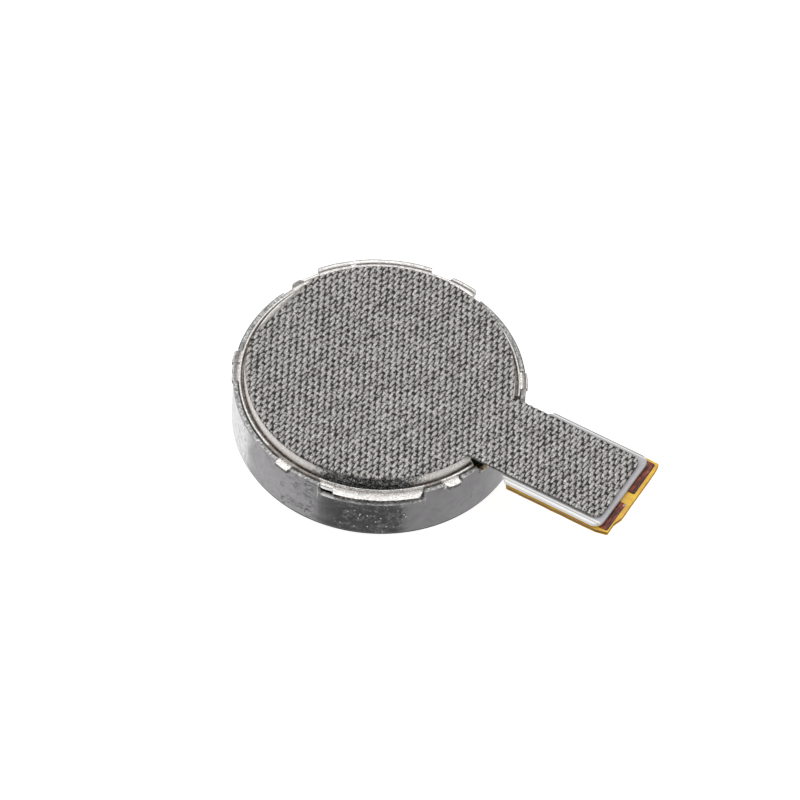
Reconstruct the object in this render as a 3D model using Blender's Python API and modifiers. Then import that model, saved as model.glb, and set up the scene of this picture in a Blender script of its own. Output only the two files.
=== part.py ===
"""Brushed coin vibration motor, 10 mm across and 2.75 mm thick, with a flexible tail.

A drawn steel can is closed by a pressed bracket. Inside, an off-balance rotor turns on a fixed shaft
under a ring magnet, and two leaf brushes feed its commutator from a flexible printed circuit that
leaves the can as a stiffened tail.

Frame: the origin is the centre of the can's flat base, +Z runs along the rotor's axis towards the
taped face, and +X runs along the tail. All the dimensions below are in millimetres.

Run it with: blender --background --python part.py
"""

import math

import bmesh
import bpy
from mathutils import Vector

MM = 0.001
GAP = 0.01  # left between two pieces that touch
SLIP = 0.02  # radial running clearance of the rotor on its shaft
WELD = 1e-6  # metres, the merge distance for pieces this small

# Can
CAN_RADIUS = 5.0
CAN_WALL = 0.18
CAN_FLOOR = 0.20
CAN_HEIGHT = 2.22
CAN_CORNER = 0.25
SEAT_DEPTH = 0.10

# Bracket: a plateau, a groove round it, a bead inside the can's wall, and ears through its rim
SHEET = 0.19
PLATEAU_TOP = 2.60
PLATEAU_RADIUS = 4.62
SHOULDER = 0.24
CHAMFER = 0.05
GROOVE_FLOOR = 2.14
GROOVE_OUTER = 4.73
BEAD_TOP = 2.30
BEAD_RADIUS = CAN_RADIUS - CAN_WALL - SLIP
EAR_TOP = 2.28
EAR_BOTTOM = 2.11
# Each ear: first angle, last angle and reach from the axis
EARS = (
    (-163.0, -156.5, 5.09),
    (-156.2, -147.0, 5.05),
    (-104.3, -97.3, 5.12),
    (-83.6, -78.0, 4.92),
    (-79.0, -42.4, 5.22),
    (-33.6, -26.2, 5.15),
    (27.0, 36.0, 5.06),
    (79.0, 91.5, 5.20),
    (99.3, 145.7, 5.26),
    (152.0, 158.5, 5.14),
)
# Each notch in the can's rim: first angle, last angle and the height of its floor
SHALLOW = EAR_BOTTOM - GAP
NOTCHES = (
    (-164.6, -146.4, SHALLOW),
    (-104.6, -96.9, SHALLOW),
    (-84.0, -41.6, 1.75),
    (-33.9, -25.4, SHALLOW),
    (-17.5, 22.5, 1.95),
    (26.4, 36.6, SHALLOW),
    (76.0, 92.2, SHALLOW),
    (98.8, 146.2, SHALLOW),
    (151.4, 162.0, SHALLOW),
)

# Flexible tail, from the plateau's underside downwards
FILM = 0.07
FOIL = 0.035
COVERLAY = 0.025
FILM_TOP = PLATEAU_TOP - SHEET - GAP
FILM_BOTTOM = FILM_TOP - FILM
FOIL_TOP = FILM_BOTTOM - GAP
FOIL_BOTTOM = FOIL_TOP - FOIL
COVERLAY_TOP = FOIL_BOTTOM - GAP
COVERLAY_BOTTOM = COVERLAY_TOP - COVERLAY
FLEX_DISC = 3.72
SHAFT_WINDOW = 0.65
NECK = 1.22
TAIL_START = 5.98
TAIL_END = 9.94
TAIL_LEFT = 1.77
TAIL_RIGHT = -1.79
TIP_RELIEF = 0.11  # how far the tip's right side steps back
TRACE_Y = 1.00
TRACE_WIDTH = 0.50
# Each land: low x, low y, high x, high y
LANDS = {
    "positive": (9.46, 0.20, 9.80, 1.66),
    "negative": (9.46, -1.62, 9.77, -0.33),
}

# Stiffener and cloth tape
STIFF_START = 5.60
STIFF_END = 9.59
STIFF_SKEW = 0.05  # its end is this much shorter on the right
STIFF_LEFT = 1.67
STIFF_RIGHT = -1.76
STIFF_CHAMFER = 0.30
GLUE = 0.02
STIFF_BOTTOM = FILM_TOP + GAP + GLUE + GAP
TAPE_RADIUS = 4.60
TAPE_LEFT = 1.44
TAPE_RIGHT = -1.55
TAPE_END = 9.42
TAPE_THICKNESS = 0.105
TAPE_BOTTOM = PLATEAU_TOP + GAP + GLUE + GAP
TAPE_FLAT = (157.0, 187.0)  # the disc's edge is cut straight between these angles
GLUE_INSET = 0.04

# Magnet
MAGNET_TOP = COVERLAY_BOTTOM - GAP - 0.025 - GAP
MAGNET_BOTTOM = 1.43
MAGNET_OUTER = 3.70
MAGNET_INNER = 1.75

# Shaft and what sits on it
SHAFT_RADIUS = 0.40
SHAFT_TOP = FILM_TOP
COLLAR_RADIUS = 0.60
BEARING_RADIUS = 0.70
BEARING_BOTTOM = 0.40
BEARING_TOP = 1.36
WASHER_TOP = 1.44

# Rotor
ROTOR_RADIUS = 4.35
ROTOR_HALF_ANGLE = 95.0
HUB_RADIUS = 1.50
MOULD_BOTTOM = 0.42
MOULD_TOP = 1.13
MOULD_FLOOR = 0.08
BOARD_TOP = 1.26
COMMUTATOR_TOP = 1.30
COMMUTATOR_INNER = 0.80
COMMUTATOR_OUTER = 1.40
COMMUTATOR_SLOT = 7.0
SEGMENTS = 6
COIL_ANGLES = (-56.0, 0.0, 56.0)
COIL_INNER = 1.15
COIL_OUTER = 3.15
COIL_HALF_ANGLE = 25.0
COIL_WINDING = 0.50
WEIGHT_INNER = 3.35
WEIGHT_HALF_ANGLE = 80.0

# Brushes
BRUSH_SHEET = 0.05
BRUSH_WIDTH = 0.30
BRUSH_Y = 1.00
BRUSH_FOOT = -1.15
BRUSH_BEND = -0.80
BRUSH_CONTACT = 0.35
BRUSH_TIP = 0.62


def clear_scene():
    for obj in list(bpy.data.objects):
        bpy.data.objects.remove(obj)


def collection(name):
    made = bpy.data.collections.new(name)
    bpy.context.scene.collection.children.link(made)
    return made


def material(name, colour, roughness, metallic):
    made = bpy.data.materials.new(name)
    made.use_nodes = True
    shader = made.node_tree.nodes["Principled BSDF"]
    shader.inputs["Base Color"].default_value = (*colour, 1.0)
    shader.inputs["Roughness"].default_value = roughness
    shader.inputs["Metallic"].default_value = metallic
    made.diffuse_color = (*colour, 1.0)
    return made


def add_object(name, data, finish=None, group=None):
    obj = bpy.data.objects.new(name, data)
    (group or PARTS).objects.link(obj)
    if finish:
        data.materials.append(finish)
    return obj


def polar(radius, degrees, centre=(0.0, 0.0)):
    turn = math.radians(degrees)
    return (centre[0] + radius * math.cos(turn), centre[1] + radius * math.sin(turn))


def arc(radius, start, end, centre=(0.0, 0.0), step=5.0):
    """Points along a circular arc with both its ends; the angles are in degrees."""
    count = max(1, math.ceil(abs(end - start) / step))
    turns = [start + (end - start) * i / count for i in range(count + 1)]
    return [polar(radius, turn, centre) for turn in turns]


def circle(radius, centre=(0.0, 0.0), step=7.5):
    return arc(radius, 0.0, 360.0, centre, step)[:-1]


def sector(inner, outer, start, end, step=5.0):
    return arc(outer, start, end, step=step) + arc(inner, end, start, step=step)


def rounded(corners, steps=4):
    """A closed outline through (x, y, corner radius) points."""
    outline = []
    befores = corners[-1:] + corners[:-1]
    afters = corners[1:] + corners[:1]
    for before, corner, after in zip(befores, corners, afters):
        here = Vector(corner[:2])
        if corner[2] == 0.0:
            outline.append(tuple(here))
            continue
        back = (Vector(before[:2]) - here).normalized()
        ahead = (Vector(after[:2]) - here).normalized()
        half = back.angle(ahead) / 2
        middle = here + (back + ahead).normalized() * corner[2] / math.sin(half)
        reach = corner[2] / math.tan(half)
        first = here + back * reach - middle
        last = here + ahead * reach - middle
        for i in range(steps + 1):
            spoke = first.slerp(last, i / steps).normalized() * corner[2]
            outline.append(tuple(middle + spoke))
    return outline


def rounded_sector(inner, outer, middle, half_angle, corner):
    """A ring sector with its four corners rounded."""
    shares = (-1.0, -0.5, 0.0, 0.5, 1.0)
    corners = []
    for radius, way in ((outer, 1.0), (inner, -1.0)):
        for share in shares:
            point = polar(radius, middle + way * share * half_angle)
            corners.append((*point, corner if abs(share) == 1.0 else 0.0))
    return rounded(corners)


def turned(name, profile, finish=None, steps=72, group=None):
    """A solid of revolution about Z from (radius, height) points that run down its outer side."""
    mesh = bpy.data.meshes.new(name)
    vertices = [(radius * MM, 0.0, height * MM) for radius, height in profile]
    edges = []
    for start in range(len(profile)):
        end = (start + 1) % len(profile)
        if profile[start][0] > 0.0 or profile[end][0] > 0.0:
            edges.append((start, end))
    mesh.from_pydata(vertices, edges, [])
    obj = add_object(name, mesh, finish, group)
    screw = obj.modifiers.new("turn", "SCREW")
    screw.steps = steps
    screw.render_steps = steps
    screw.use_merge_vertices = True
    screw.merge_threshold = WELD
    screw.use_smooth_shade = True
    return obj


def ring(name, inner, outer, bottom, top, finish, steps=48):
    """A plain turned ring."""
    profile = [(inner, top), (outer, top), (outer, bottom), (inner, bottom)]
    return turned(name, profile, finish, steps)


def flat_solid(name, outlines, bottom, top, finish=None, group=None):
    """A flat piece: the first outline filled, with the others as holes, from bottom to top."""
    curve = bpy.data.curves.new(name, "CURVE")
    curve.dimensions = "2D"
    curve.fill_mode = "BOTH"
    curve.extrude = (top - bottom) / 2 * MM
    for outline in outlines:
        spline = curve.splines.new("POLY")
        spline.points.add(len(outline) - 1)
        spline.use_cyclic_u = True
        for point, (x, y) in zip(spline.points, outline):
            point.co = (x * MM, y * MM, 0.0, 1.0)
    obj = add_object(name, curve, finish, group)
    obj.location.z = (top + bottom) / 2 * MM
    return obj


def as_mesh(obj):
    """The same object made a welded mesh, so that it can be cut, joined or a cutter."""
    bpy.context.view_layer.update()
    evaluated = obj.evaluated_get(bpy.context.evaluated_depsgraph_get())
    mesh = bpy.data.meshes.new_from_object(evaluated)
    welded = bmesh.new()
    welded.from_mesh(mesh)
    bmesh.ops.remove_doubles(welded, verts=welded.verts, dist=WELD / 10)
    bmesh.ops.recalc_face_normals(welded, faces=welded.faces)
    welded.to_mesh(mesh)
    welded.free()
    name = obj.name
    group = obj.users_collection[0]
    matrix = obj.matrix_world.copy()
    bpy.data.objects.remove(obj)
    made = bpy.data.objects.new(name, mesh)
    made.matrix_world = matrix
    group.objects.link(made)
    return made


def cutter(name, outlines, bottom, top):
    """One hidden mesh made of separate blocks, each with its own outline, bottom and top."""
    joined = bmesh.new()
    for outline, low, high in zip(outlines, bottom, top):
        block = as_mesh(flat_solid("block", [outline], low, high, group=CUTTERS))
        block.data.transform(block.matrix_world)
        joined.from_mesh(block.data)
        bpy.data.objects.remove(block)
    mesh = bpy.data.meshes.new(name)
    joined.to_mesh(mesh)
    joined.free()
    obj = add_object(name, mesh, group=CUTTERS)
    obj.hide_render = True
    obj.display_type = "WIRE"
    return obj


def combine(obj, other, operation):
    boolean = obj.modifiers.new(operation.lower(), "BOOLEAN")
    boolean.operation = operation
    boolean.object = other
    boolean.use_self = operation == "UNION"  # two of the ears overlap


def shade_round(obj, angle=35.0):
    """Smooth shading that keeps the edges sharper than angle."""
    if obj.type == "MESH" and obj.data.polygons:
        obj.data.shade_smooth()
        obj.data.set_sharp_from_angle(angle=math.radians(angle))


def parent_to(empty, *pieces):
    for piece in pieces:
        piece.parent = empty
        piece.matrix_parent_inverse = empty.matrix_world.inverted()


def make_can(steel):
    inner = CAN_RADIUS - CAN_WALL
    seat = SHAFT_RADIUS + GAP
    outer_corner = arc(
        CAN_CORNER, 0.0, -90.0, (CAN_RADIUS - CAN_CORNER, CAN_CORNER), 22.5
    )
    inner_corner = arc(
        CAN_CORNER / 2,
        -90.0,
        0.0,
        (inner - CAN_CORNER / 2, CAN_FLOOR + CAN_CORNER / 2),
        30.0,
    )
    profile = [
        (CAN_RADIUS, CAN_HEIGHT),
        *outer_corner,
        (0.0, 0.0),
        (0.0, CAN_FLOOR - SEAT_DEPTH),
        (seat, CAN_FLOOR - SEAT_DEPTH),
        (seat, CAN_FLOOR),
        *inner_corner,
        (inner, CAN_HEIGHT),
    ]
    can = turned("can_housing", profile, steel)
    outlines = [sector(4.6, 5.3, start, end) for start, end, _ in NOTCHES]
    floors = [floor for _, _, floor in NOTCHES]
    combine(
        can, cutter("rim_notches", outlines, floors, [3.0] * len(floors)), "DIFFERENCE"
    )
    return can


def make_bracket(steel):
    """The plateau, groove and bead are turned; the ears are joined on and the tail's exit is cut."""
    inner = PLATEAU_RADIUS - SHEET
    outer_bend = 0.04
    shoulder = arc(
        SHOULDER, 90.0, 0.0, (PLATEAU_RADIUS - SHOULDER, PLATEAU_TOP - SHOULDER), 22.5
    )
    bead = arc(0.03, 135.0, 0.0, (BEAD_RADIUS - 0.03, BEAD_TOP - 0.03), 45.0)
    sheet_bottom = GROOVE_FLOOR - SHEET
    profile = [
        (0.0, PLATEAU_TOP),
        *shoulder,
        (PLATEAU_RADIUS, GROOVE_FLOOR + outer_bend),
        (PLATEAU_RADIUS + outer_bend, GROOVE_FLOOR),
        (GROOVE_OUTER - outer_bend, GROOVE_FLOOR),
        (GROOVE_OUTER, GROOVE_FLOOR + outer_bend),
        *bead,
        (BEAD_RADIUS, sheet_bottom + CHAMFER),
        (BEAD_RADIUS - CHAMFER, sheet_bottom),
        (inner + CHAMFER, sheet_bottom),
        (inner, sheet_bottom + CHAMFER),
        (inner, PLATEAU_TOP - SHEET - CHAMFER),
        (inner - CHAMFER, PLATEAU_TOP - SHEET),
        (0.0, PLATEAU_TOP - SHEET),
    ]
    bracket = turned("end_bracket", profile, steel)
    root = BEAD_RADIUS - 0.05
    outlines = [sector(root, reach, start, end) for start, end, reach in EARS]
    stepped = [0.02 if reach < CAN_RADIUS else 0.0 for _, _, reach in EARS]
    bottoms = [EAR_BOTTOM + step for step in stepped]
    tops = [EAR_TOP - step for step in stepped]
    combine(bracket, cutter("rim_ears", outlines, bottoms, tops), "UNION")
    exit_outline = [(4.1, -1.50), (5.6, -1.50), (5.6, 1.80), (4.1, 1.80)]
    roof = PLATEAU_TOP - SHEET + 0.004
    combine(
        bracket, cutter("tail_exit", [exit_outline], [1.5], [roof]), "DIFFERENCE"
    )
    return bracket


def flex_outline():
    """The disc under the plateau, the neck through the can's rim and the wide tail."""
    meeting = math.degrees(math.asin(NECK / FLEX_DISC))
    disc = arc(FLEX_DISC, meeting, 360.0 - meeting, step=6.0)
    corners = [
        (STIFF_START, -NECK, 0.0),
        (TAIL_START, TAIL_RIGHT, 0.05),
        (TAIL_END - 0.52, TAIL_RIGHT, 0.0),
        (TAIL_END - TIP_RELIEF, TAIL_RIGHT + 0.11, 0.05),
        (TAIL_END - TIP_RELIEF, TAIL_RIGHT + 0.57, 0.0),
        (TAIL_END, TAIL_RIGHT + 0.89, 0.10),
        (TAIL_END, TAIL_LEFT - 0.40, 0.0),
        (TAIL_END - 0.03, TAIL_LEFT, 0.06),
        (TAIL_START, TAIL_LEFT, 0.10),
        (STIFF_START, NECK, 0.0),
    ]
    return disc + rounded(corners)


def box_outline(low_x, low_y, high_x, high_y, corner=0.05):
    corners = [(low_x, low_y), (high_x, low_y), (high_x, high_y), (low_x, high_y)]
    return rounded([(x, y, corner) for x, y in corners], steps=2)


def make_flex(amber, copper, land):
    outline = flex_outline()
    windows = [
        box_outline(x0 - GAP, y0 - GAP, x1 + GAP, y1 + GAP, 0.06)
        for x0, y0, x1, y1 in LANDS.values()
    ]
    film = [outline, circle(SHAFT_WINDOW), *windows]
    cover = [outline, circle(MAGNET_INNER - 0.05), *windows]
    pieces = [
        flat_solid("flex_base_film", film, FILM_BOTTOM, FILM_TOP, amber),
        flat_solid("flex_coverlay", cover, COVERLAY_BOTTOM, COVERLAY_TOP, amber),
    ]
    for pole, (x0, y0, x1, y1) in LANDS.items():
        side = math.copysign(TRACE_Y, y0 + y1)
        low = side - TRACE_WIDTH / 2
        track = box_outline(BRUSH_FOOT, low, x0 - GAP, low + TRACE_WIDTH)
        pieces.append(
            flat_solid(f"trace_{pole}", [track], FOIL_BOTTOM, FOIL_TOP, copper)
        )
        outline = box_outline(x0, y0, x1, y1)
        pieces.append(
            flat_solid(f"contact_pad_{pole}", [outline], COVERLAY_BOTTOM, FILM_TOP, land)
        )
    return pieces


def stiffener_outline(inset=0.0):
    start, end = STIFF_START + inset, STIFF_END - inset
    right, left = STIFF_RIGHT + inset, STIFF_LEFT - inset
    corners = [
        (start, right + STIFF_CHAMFER, 0.04),
        (start + STIFF_CHAMFER, right, 0.05),
        (end - STIFF_SKEW, right, 0.35),
        (end, left, 0.28),
        (start + STIFF_CHAMFER, left, 0.05),
        (start, left - STIFF_CHAMFER, 0.04),
    ]
    return rounded(corners)


def tape_outline(inset=0.0):
    """A disc with one short straight cut in its edge, and a tongue along the tail."""
    radius = TAPE_RADIUS - inset
    left = TAPE_LEFT - inset
    right = TAPE_RIGHT + inset
    end = TAPE_END - inset
    first = math.degrees(math.asin(left / radius))
    last = 360.0 + math.degrees(math.asin(right / radius))
    disc = arc(radius, first, TAPE_FLAT[0]) + arc(radius, TAPE_FLAT[1], last)
    tongue = rounded(
        [
            (radius, right, 0.0),
            (end, right, 0.35),
            (end, left, 0.35),
            (radius, left, 0.0),
        ]
    )
    return disc + tongue


def make_tail_layers(board, glue, cloth):
    glue_bottom = FILM_TOP + GAP
    tape_glue = PLATEAU_TOP + GAP
    tape_top = TAPE_BOTTOM + TAPE_THICKNESS
    inset = tape_outline(GLUE_INSET)
    return [
        flat_solid(
            "stiffener_adhesive",
            [stiffener_outline(GLUE_INSET)],
            glue_bottom,
            glue_bottom + GLUE,
            glue,
        ),
        flat_solid(
            "stiffener", [stiffener_outline()], STIFF_BOTTOM, PLATEAU_TOP, board
        ),
        flat_solid("tape_adhesive", [inset], tape_glue, tape_glue + GLUE, glue),
        flat_solid("cloth_tape", [tape_outline()], TAPE_BOTTOM, tape_top, cloth),
    ]


def make_magnet(ferrite, glue):
    bond_top = COVERLAY_BOTTOM - GAP
    chamfer = 0.06
    profile = [
        (MAGNET_INNER, MAGNET_TOP),
        (MAGNET_OUTER - chamfer, MAGNET_TOP),
        (MAGNET_OUTER, MAGNET_TOP - chamfer),
        (MAGNET_OUTER, MAGNET_BOTTOM + chamfer),
        (MAGNET_OUTER - chamfer, MAGNET_BOTTOM),
        (MAGNET_INNER, MAGNET_BOTTOM),
    ]
    return [
        turned("ring_magnet", profile, ferrite, steps=60),
        ring(
            "magnet_adhesive",
            MAGNET_INNER + 0.05,
            MAGNET_OUTER - 0.05,
            MAGNET_TOP + GAP,
            bond_top,
            glue,
        ),
    ]


def make_shaft_parts(steel, brass, nylon):
    bore = SHAFT_RADIUS + GAP
    seat = CAN_FLOOR - SEAT_DEPTH + GAP
    chamfer = 0.04
    profile = [
        (0.0, SHAFT_TOP),
        (SHAFT_RADIUS - chamfer, SHAFT_TOP),
        (SHAFT_RADIUS, SHAFT_TOP - chamfer),
        (SHAFT_RADIUS, seat + chamfer),
        (SHAFT_RADIUS - chamfer, seat),
        (0.0, seat),
    ]
    washer_bore = SHAFT_RADIUS + SLIP
    return [
        turned("shaft", profile, steel, steps=32),
        ring("shaft_collar", bore, COLLAR_RADIUS, WASHER_TOP + GAP, SHAFT_TOP, brass, 32),
        ring(
            "upper_thrust_washer",
            washer_bore,
            COLLAR_RADIUS + 0.04,
            BEARING_TOP + GAP,
            WASHER_TOP,
            nylon,
            32,
        ),
        ring(
            "lower_thrust_washer",
            washer_bore,
            BEARING_RADIUS + 0.08,
            CAN_FLOOR + GAP,
            BEARING_BOTTOM - GAP,
            nylon,
            32,
        ),
    ]


def brush_path():
    """The brush's centre line as (x, z): a foot on the film, a slope and a turned-up tip."""
    foot = FOIL_BOTTOM - GAP - BRUSH_SHEET / 2
    contact = COMMUTATOR_TOP + GAP + BRUSH_SHEET / 2
    return [
        (BRUSH_FOOT, foot),
        (BRUSH_BEND - 0.05, foot),
        (BRUSH_BEND + 0.05, foot - 0.06),
        (BRUSH_CONTACT - 0.14, contact + 0.07),
        (BRUSH_CONTACT - 0.04, contact),
        (BRUSH_CONTACT + 0.06, contact),
        (BRUSH_TIP, contact + 0.10),
    ]


def make_brush(pole, side, bronze, tin):
    """A leaf brush: a ribbon along its path, thickened evenly, and the solder on its foot."""
    curve = bpy.data.curves.new(f"brush_{pole}", "CURVE")
    curve.dimensions = "3D"
    curve.extrude = BRUSH_WIDTH / 2 * MM
    path = brush_path()
    spline = curve.splines.new("POLY")
    spline.points.add(len(path) - 1)
    for point, (x, z) in zip(spline.points, path):
        point.co = (x * MM, z * MM, 0.0, 1.0)
    ribbon = add_object(f"brush_{pole}", curve)
    ribbon.rotation_euler.x = math.radians(90.0)
    ribbon.location.y = side * BRUSH_Y * MM
    brush = as_mesh(ribbon)
    brush.data.materials.append(bronze)
    sheet = brush.modifiers.new("sheet", "SOLIDIFY")
    sheet.thickness = BRUSH_SHEET * MM
    sheet.offset = 0.0
    sheet.use_even_offset = True
    foot_bottom = FOIL_BOTTOM - GAP - BRUSH_SHEET
    solder = turned(
        f"brush_solder_{pole}",
        [
            (0.0, foot_bottom - GAP),
            (0.13, foot_bottom - GAP),
            (0.12, foot_bottom - 0.04),
            (0.07, foot_bottom - 0.07),
            (0.0, foot_bottom - 0.08),
        ],
        tin,
        steps=16,
    )
    solder.location = ((BRUSH_FOOT + 0.16) * MM, side * BRUSH_Y * MM, 0.0)
    return [brush, solder]


def make_bearing(bronze):
    chamfer = 0.05
    bore = SHAFT_RADIUS + SLIP
    profile = [
        (bore + chamfer, BEARING_TOP),
        (BEARING_RADIUS - chamfer, BEARING_TOP),
        (BEARING_RADIUS, BEARING_TOP - chamfer),
        (BEARING_RADIUS, BEARING_BOTTOM + chamfer),
        (BEARING_RADIUS - chamfer, BEARING_BOTTOM),
        (bore + chamfer, BEARING_BOTTOM),
        (bore, BEARING_BOTTOM + chamfer),
        (bore, BEARING_TOP - chamfer),
    ]
    return turned("sleeve_bearing", profile, bronze, steps=40)


def rotor_outline(radius, half_angle, hub):
    """A wide sector joined to a full hub round the shaft."""
    return arc(radius, -half_angle, half_angle) + arc(
        hub, half_angle, 360.0 - half_angle, step=7.5
    )


def make_coil(number, middle, enamel):
    outer = rounded_sector(COIL_INNER, COIL_OUTER, middle, COIL_HALF_ANGLE, 0.16)
    mean = (COIL_INNER + COIL_OUTER) / 2
    core_half = COIL_HALF_ANGLE - math.degrees(COIL_WINDING / mean) - 3.0
    core = rounded_sector(
        COIL_INNER + COIL_WINDING, COIL_OUTER - COIL_WINDING, middle, core_half, 0.10
    )
    bottom = MOULD_BOTTOM + MOULD_FLOOR + GAP
    return flat_solid(f"coil_{number}", [outer, core], bottom, MOULD_TOP, enamel)


def make_moulding(resin):
    """The resin half disc: pockets for the coils, and an open rebate for the weight."""
    outline = rotor_outline(ROTOR_RADIUS, ROTOR_HALF_ANGLE, HUB_RADIUS - 0.35)
    bore = circle(BEARING_RADIUS + GAP)
    moulding = as_mesh(
        flat_solid("rotor_moulding", [outline, bore], MOULD_BOTTOM, MOULD_TOP, resin)
    )
    pockets = [
        rounded_sector(
            COIL_INNER - GAP, COIL_OUTER + GAP, middle, COIL_HALF_ANGLE + 0.4, 0.16
        )
        for middle in COIL_ANGLES
    ]
    floor = MOULD_BOTTOM + MOULD_FLOOR
    half = WEIGHT_HALF_ANGLE + 0.3
    rebate = sector(WEIGHT_INNER - GAP, ROTOR_RADIUS + 0.3, -half, half)
    outlines = [*pockets, rebate]
    bottoms = [floor] * len(pockets) + [MOULD_BOTTOM - 0.2]
    tops = [MOULD_TOP + 0.2] * len(outlines)
    combine(moulding, cutter("pockets", outlines, bottoms, tops), "DIFFERENCE")
    return moulding


def make_commutator(gold):
    pitch = 360.0 / SEGMENTS
    half = (pitch - COMMUTATOR_SLOT) / 2
    pieces = []
    for number in range(SEGMENTS):
        middle = number * pitch
        outline = sector(
            COMMUTATOR_INNER, COMMUTATOR_OUTER, middle - half, middle + half, 7.5
        )
        pieces.append(
            flat_solid(
                f"commutator_segment_{number + 1}",
                [outline],
                BOARD_TOP + GAP,
                COMMUTATOR_TOP,
                gold,
            )
        )
    return pieces


def make_rotor(finishes):
    board_outline = rotor_outline(ROTOR_RADIUS - 0.05, ROTOR_HALF_ANGLE - 3.0, HUB_RADIUS)
    bore = circle(BEARING_RADIUS + GAP)
    weight = sector(
        WEIGHT_INNER, ROTOR_RADIUS, -WEIGHT_HALF_ANGLE, WEIGHT_HALF_ANGLE, 4.0
    )
    board_bottom = MOULD_TOP + GAP
    pieces = [
        make_bearing(finishes["bronze"]),
        flat_solid(
            "rotor_board", [board_outline, bore], board_bottom, BOARD_TOP, finishes["board"]
        ),
        flat_solid(
            "counterweight", [weight], MOULD_BOTTOM, MOULD_TOP, finishes["tungsten"]
        ),
        make_moulding(finishes["resin"]),
        *make_commutator(finishes["gold"]),
    ]
    for number, middle in enumerate(COIL_ANGLES, 1):
        pieces.append(make_coil(number, middle, finishes["enamel"]))
    axis = add_object("rotor_axis", None)
    axis.location.z = BEARING_BOTTOM * MM
    bpy.context.view_layer.update()
    parent_to(axis, *pieces)


def make_finishes():
    return {
        "can_steel": material("nickel plated steel", (0.42, 0.42, 0.43), 0.28, 1.0),
        "bracket_steel": material("bracket steel", (0.62, 0.58, 0.54), 0.34, 1.0),
        "cloth": material("woven cloth tape", (0.22, 0.21, 0.19), 0.85, 0.0),
        "glue": material("adhesive", (0.75, 0.74, 0.70), 0.50, 0.0),
        "stiffener": material("stiffener", (0.62, 0.61, 0.64), 0.50, 0.0),
        "amber": material("polyimide", (0.80, 0.42, 0.06), 0.30, 0.0),
        "land": material("contact land", (0.28, 0.09, 0.05), 0.45, 0.3),
        "copper": material("copper foil", (0.72, 0.38, 0.24), 0.35, 1.0),
        "magnet": material("ring magnet", (0.16, 0.16, 0.17), 0.40, 0.6),
        "shaft": material("shaft steel", (0.60, 0.60, 0.62), 0.20, 1.0),
        "brass": material("brass", (0.75, 0.58, 0.28), 0.30, 1.0),
        "nylon": material("washer nylon", (0.85, 0.84, 0.80), 0.50, 0.0),
        "bronze": material("bronze", (0.62, 0.42, 0.24), 0.45, 1.0),
        "tin": material("solder", (0.66, 0.66, 0.68), 0.30, 1.0),
        "board": material("rotor board", (0.05, 0.25, 0.12), 0.45, 0.0),
        "gold": material("gold plating", (0.85, 0.65, 0.30), 0.22, 1.0),
        "enamel": material("enamelled wire", (0.60, 0.24, 0.08), 0.35, 0.4),
        "tungsten": material("tungsten alloy", (0.38, 0.38, 0.39), 0.45, 1.0),
        "resin": material("moulding resin", (0.04, 0.04, 0.045), 0.55, 0.0),
    }


def main():
    finishes = make_finishes()
    make_can(finishes["can_steel"])
    make_bracket(finishes["bracket_steel"])
    make_flex(finishes["amber"], finishes["copper"], finishes["land"])
    make_tail_layers(finishes["stiffener"], finishes["glue"], finishes["cloth"])
    make_magnet(finishes["magnet"], finishes["glue"])
    make_shaft_parts(finishes["shaft"], finishes["brass"], finishes["nylon"])
    for pole, side in (("positive", 1.0), ("negative", -1.0)):
        make_brush(pole, side, finishes["bronze"], finishes["tin"])
    make_rotor(finishes)
    for obj in PARTS.objects:
        shade_round(obj)


clear_scene()
PARTS = collection("coin_motor")
CUTTERS = collection("cutters")
main()
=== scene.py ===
"""Looks of the coin vibration motor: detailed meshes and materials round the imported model.

Lengths are in millimetres and angles in degrees, counted from +X (the tail) towards +Y. Every mesh is
scaled to metres as it is made, and every object sits at the origin of the model's frame.
"""

import math

import bmesh
import bpy
import numpy as np
from mathutils import Matrix, Vector, noise


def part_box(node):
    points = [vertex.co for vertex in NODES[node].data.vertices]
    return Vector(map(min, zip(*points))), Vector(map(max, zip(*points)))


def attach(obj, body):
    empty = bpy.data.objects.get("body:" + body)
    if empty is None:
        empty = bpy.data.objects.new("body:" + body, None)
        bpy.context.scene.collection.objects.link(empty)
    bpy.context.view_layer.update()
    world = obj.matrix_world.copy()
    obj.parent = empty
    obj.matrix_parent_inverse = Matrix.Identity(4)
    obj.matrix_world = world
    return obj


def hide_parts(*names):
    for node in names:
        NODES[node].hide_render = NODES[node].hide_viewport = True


MM = 0.001

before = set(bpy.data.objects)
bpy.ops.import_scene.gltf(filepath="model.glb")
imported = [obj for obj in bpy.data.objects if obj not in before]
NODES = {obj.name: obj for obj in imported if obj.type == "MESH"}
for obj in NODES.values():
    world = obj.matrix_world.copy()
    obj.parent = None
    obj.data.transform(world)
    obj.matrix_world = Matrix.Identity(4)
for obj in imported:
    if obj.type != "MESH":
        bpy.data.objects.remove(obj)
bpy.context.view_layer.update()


def low(node):
    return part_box(node)[0] / MM


def high(node):
    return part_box(node)[1] / MM


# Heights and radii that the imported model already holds
CAN_RADIUS = high("can_housing").x
CAN_TOP = high("can_housing").z
PLATE_TOP = high("end_bracket").z
PLATE_BOTTOM = high("flex_base_film").z + 0.01
BRACKET_BOTTOM = low("end_bracket").z
FILM_TOP = high("flex_base_film").z
FILM_BOTTOM = low("flex_base_film").z
FILM_END = high("flex_base_film").x
COVER_TOP = high("flex_coverlay").z
COVER_BOTTOM = low("flex_coverlay").z
STIFF_LOW = low("stiffener")
STIFF_HIGH = high("stiffener")
TAPE_TOP = high("cloth_tape").z
TAPE_BOTTOM = low("cloth_tape").z
COIL_TOP = high("coil_1").z
COIL_BOTTOM = low("coil_1").z

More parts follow.
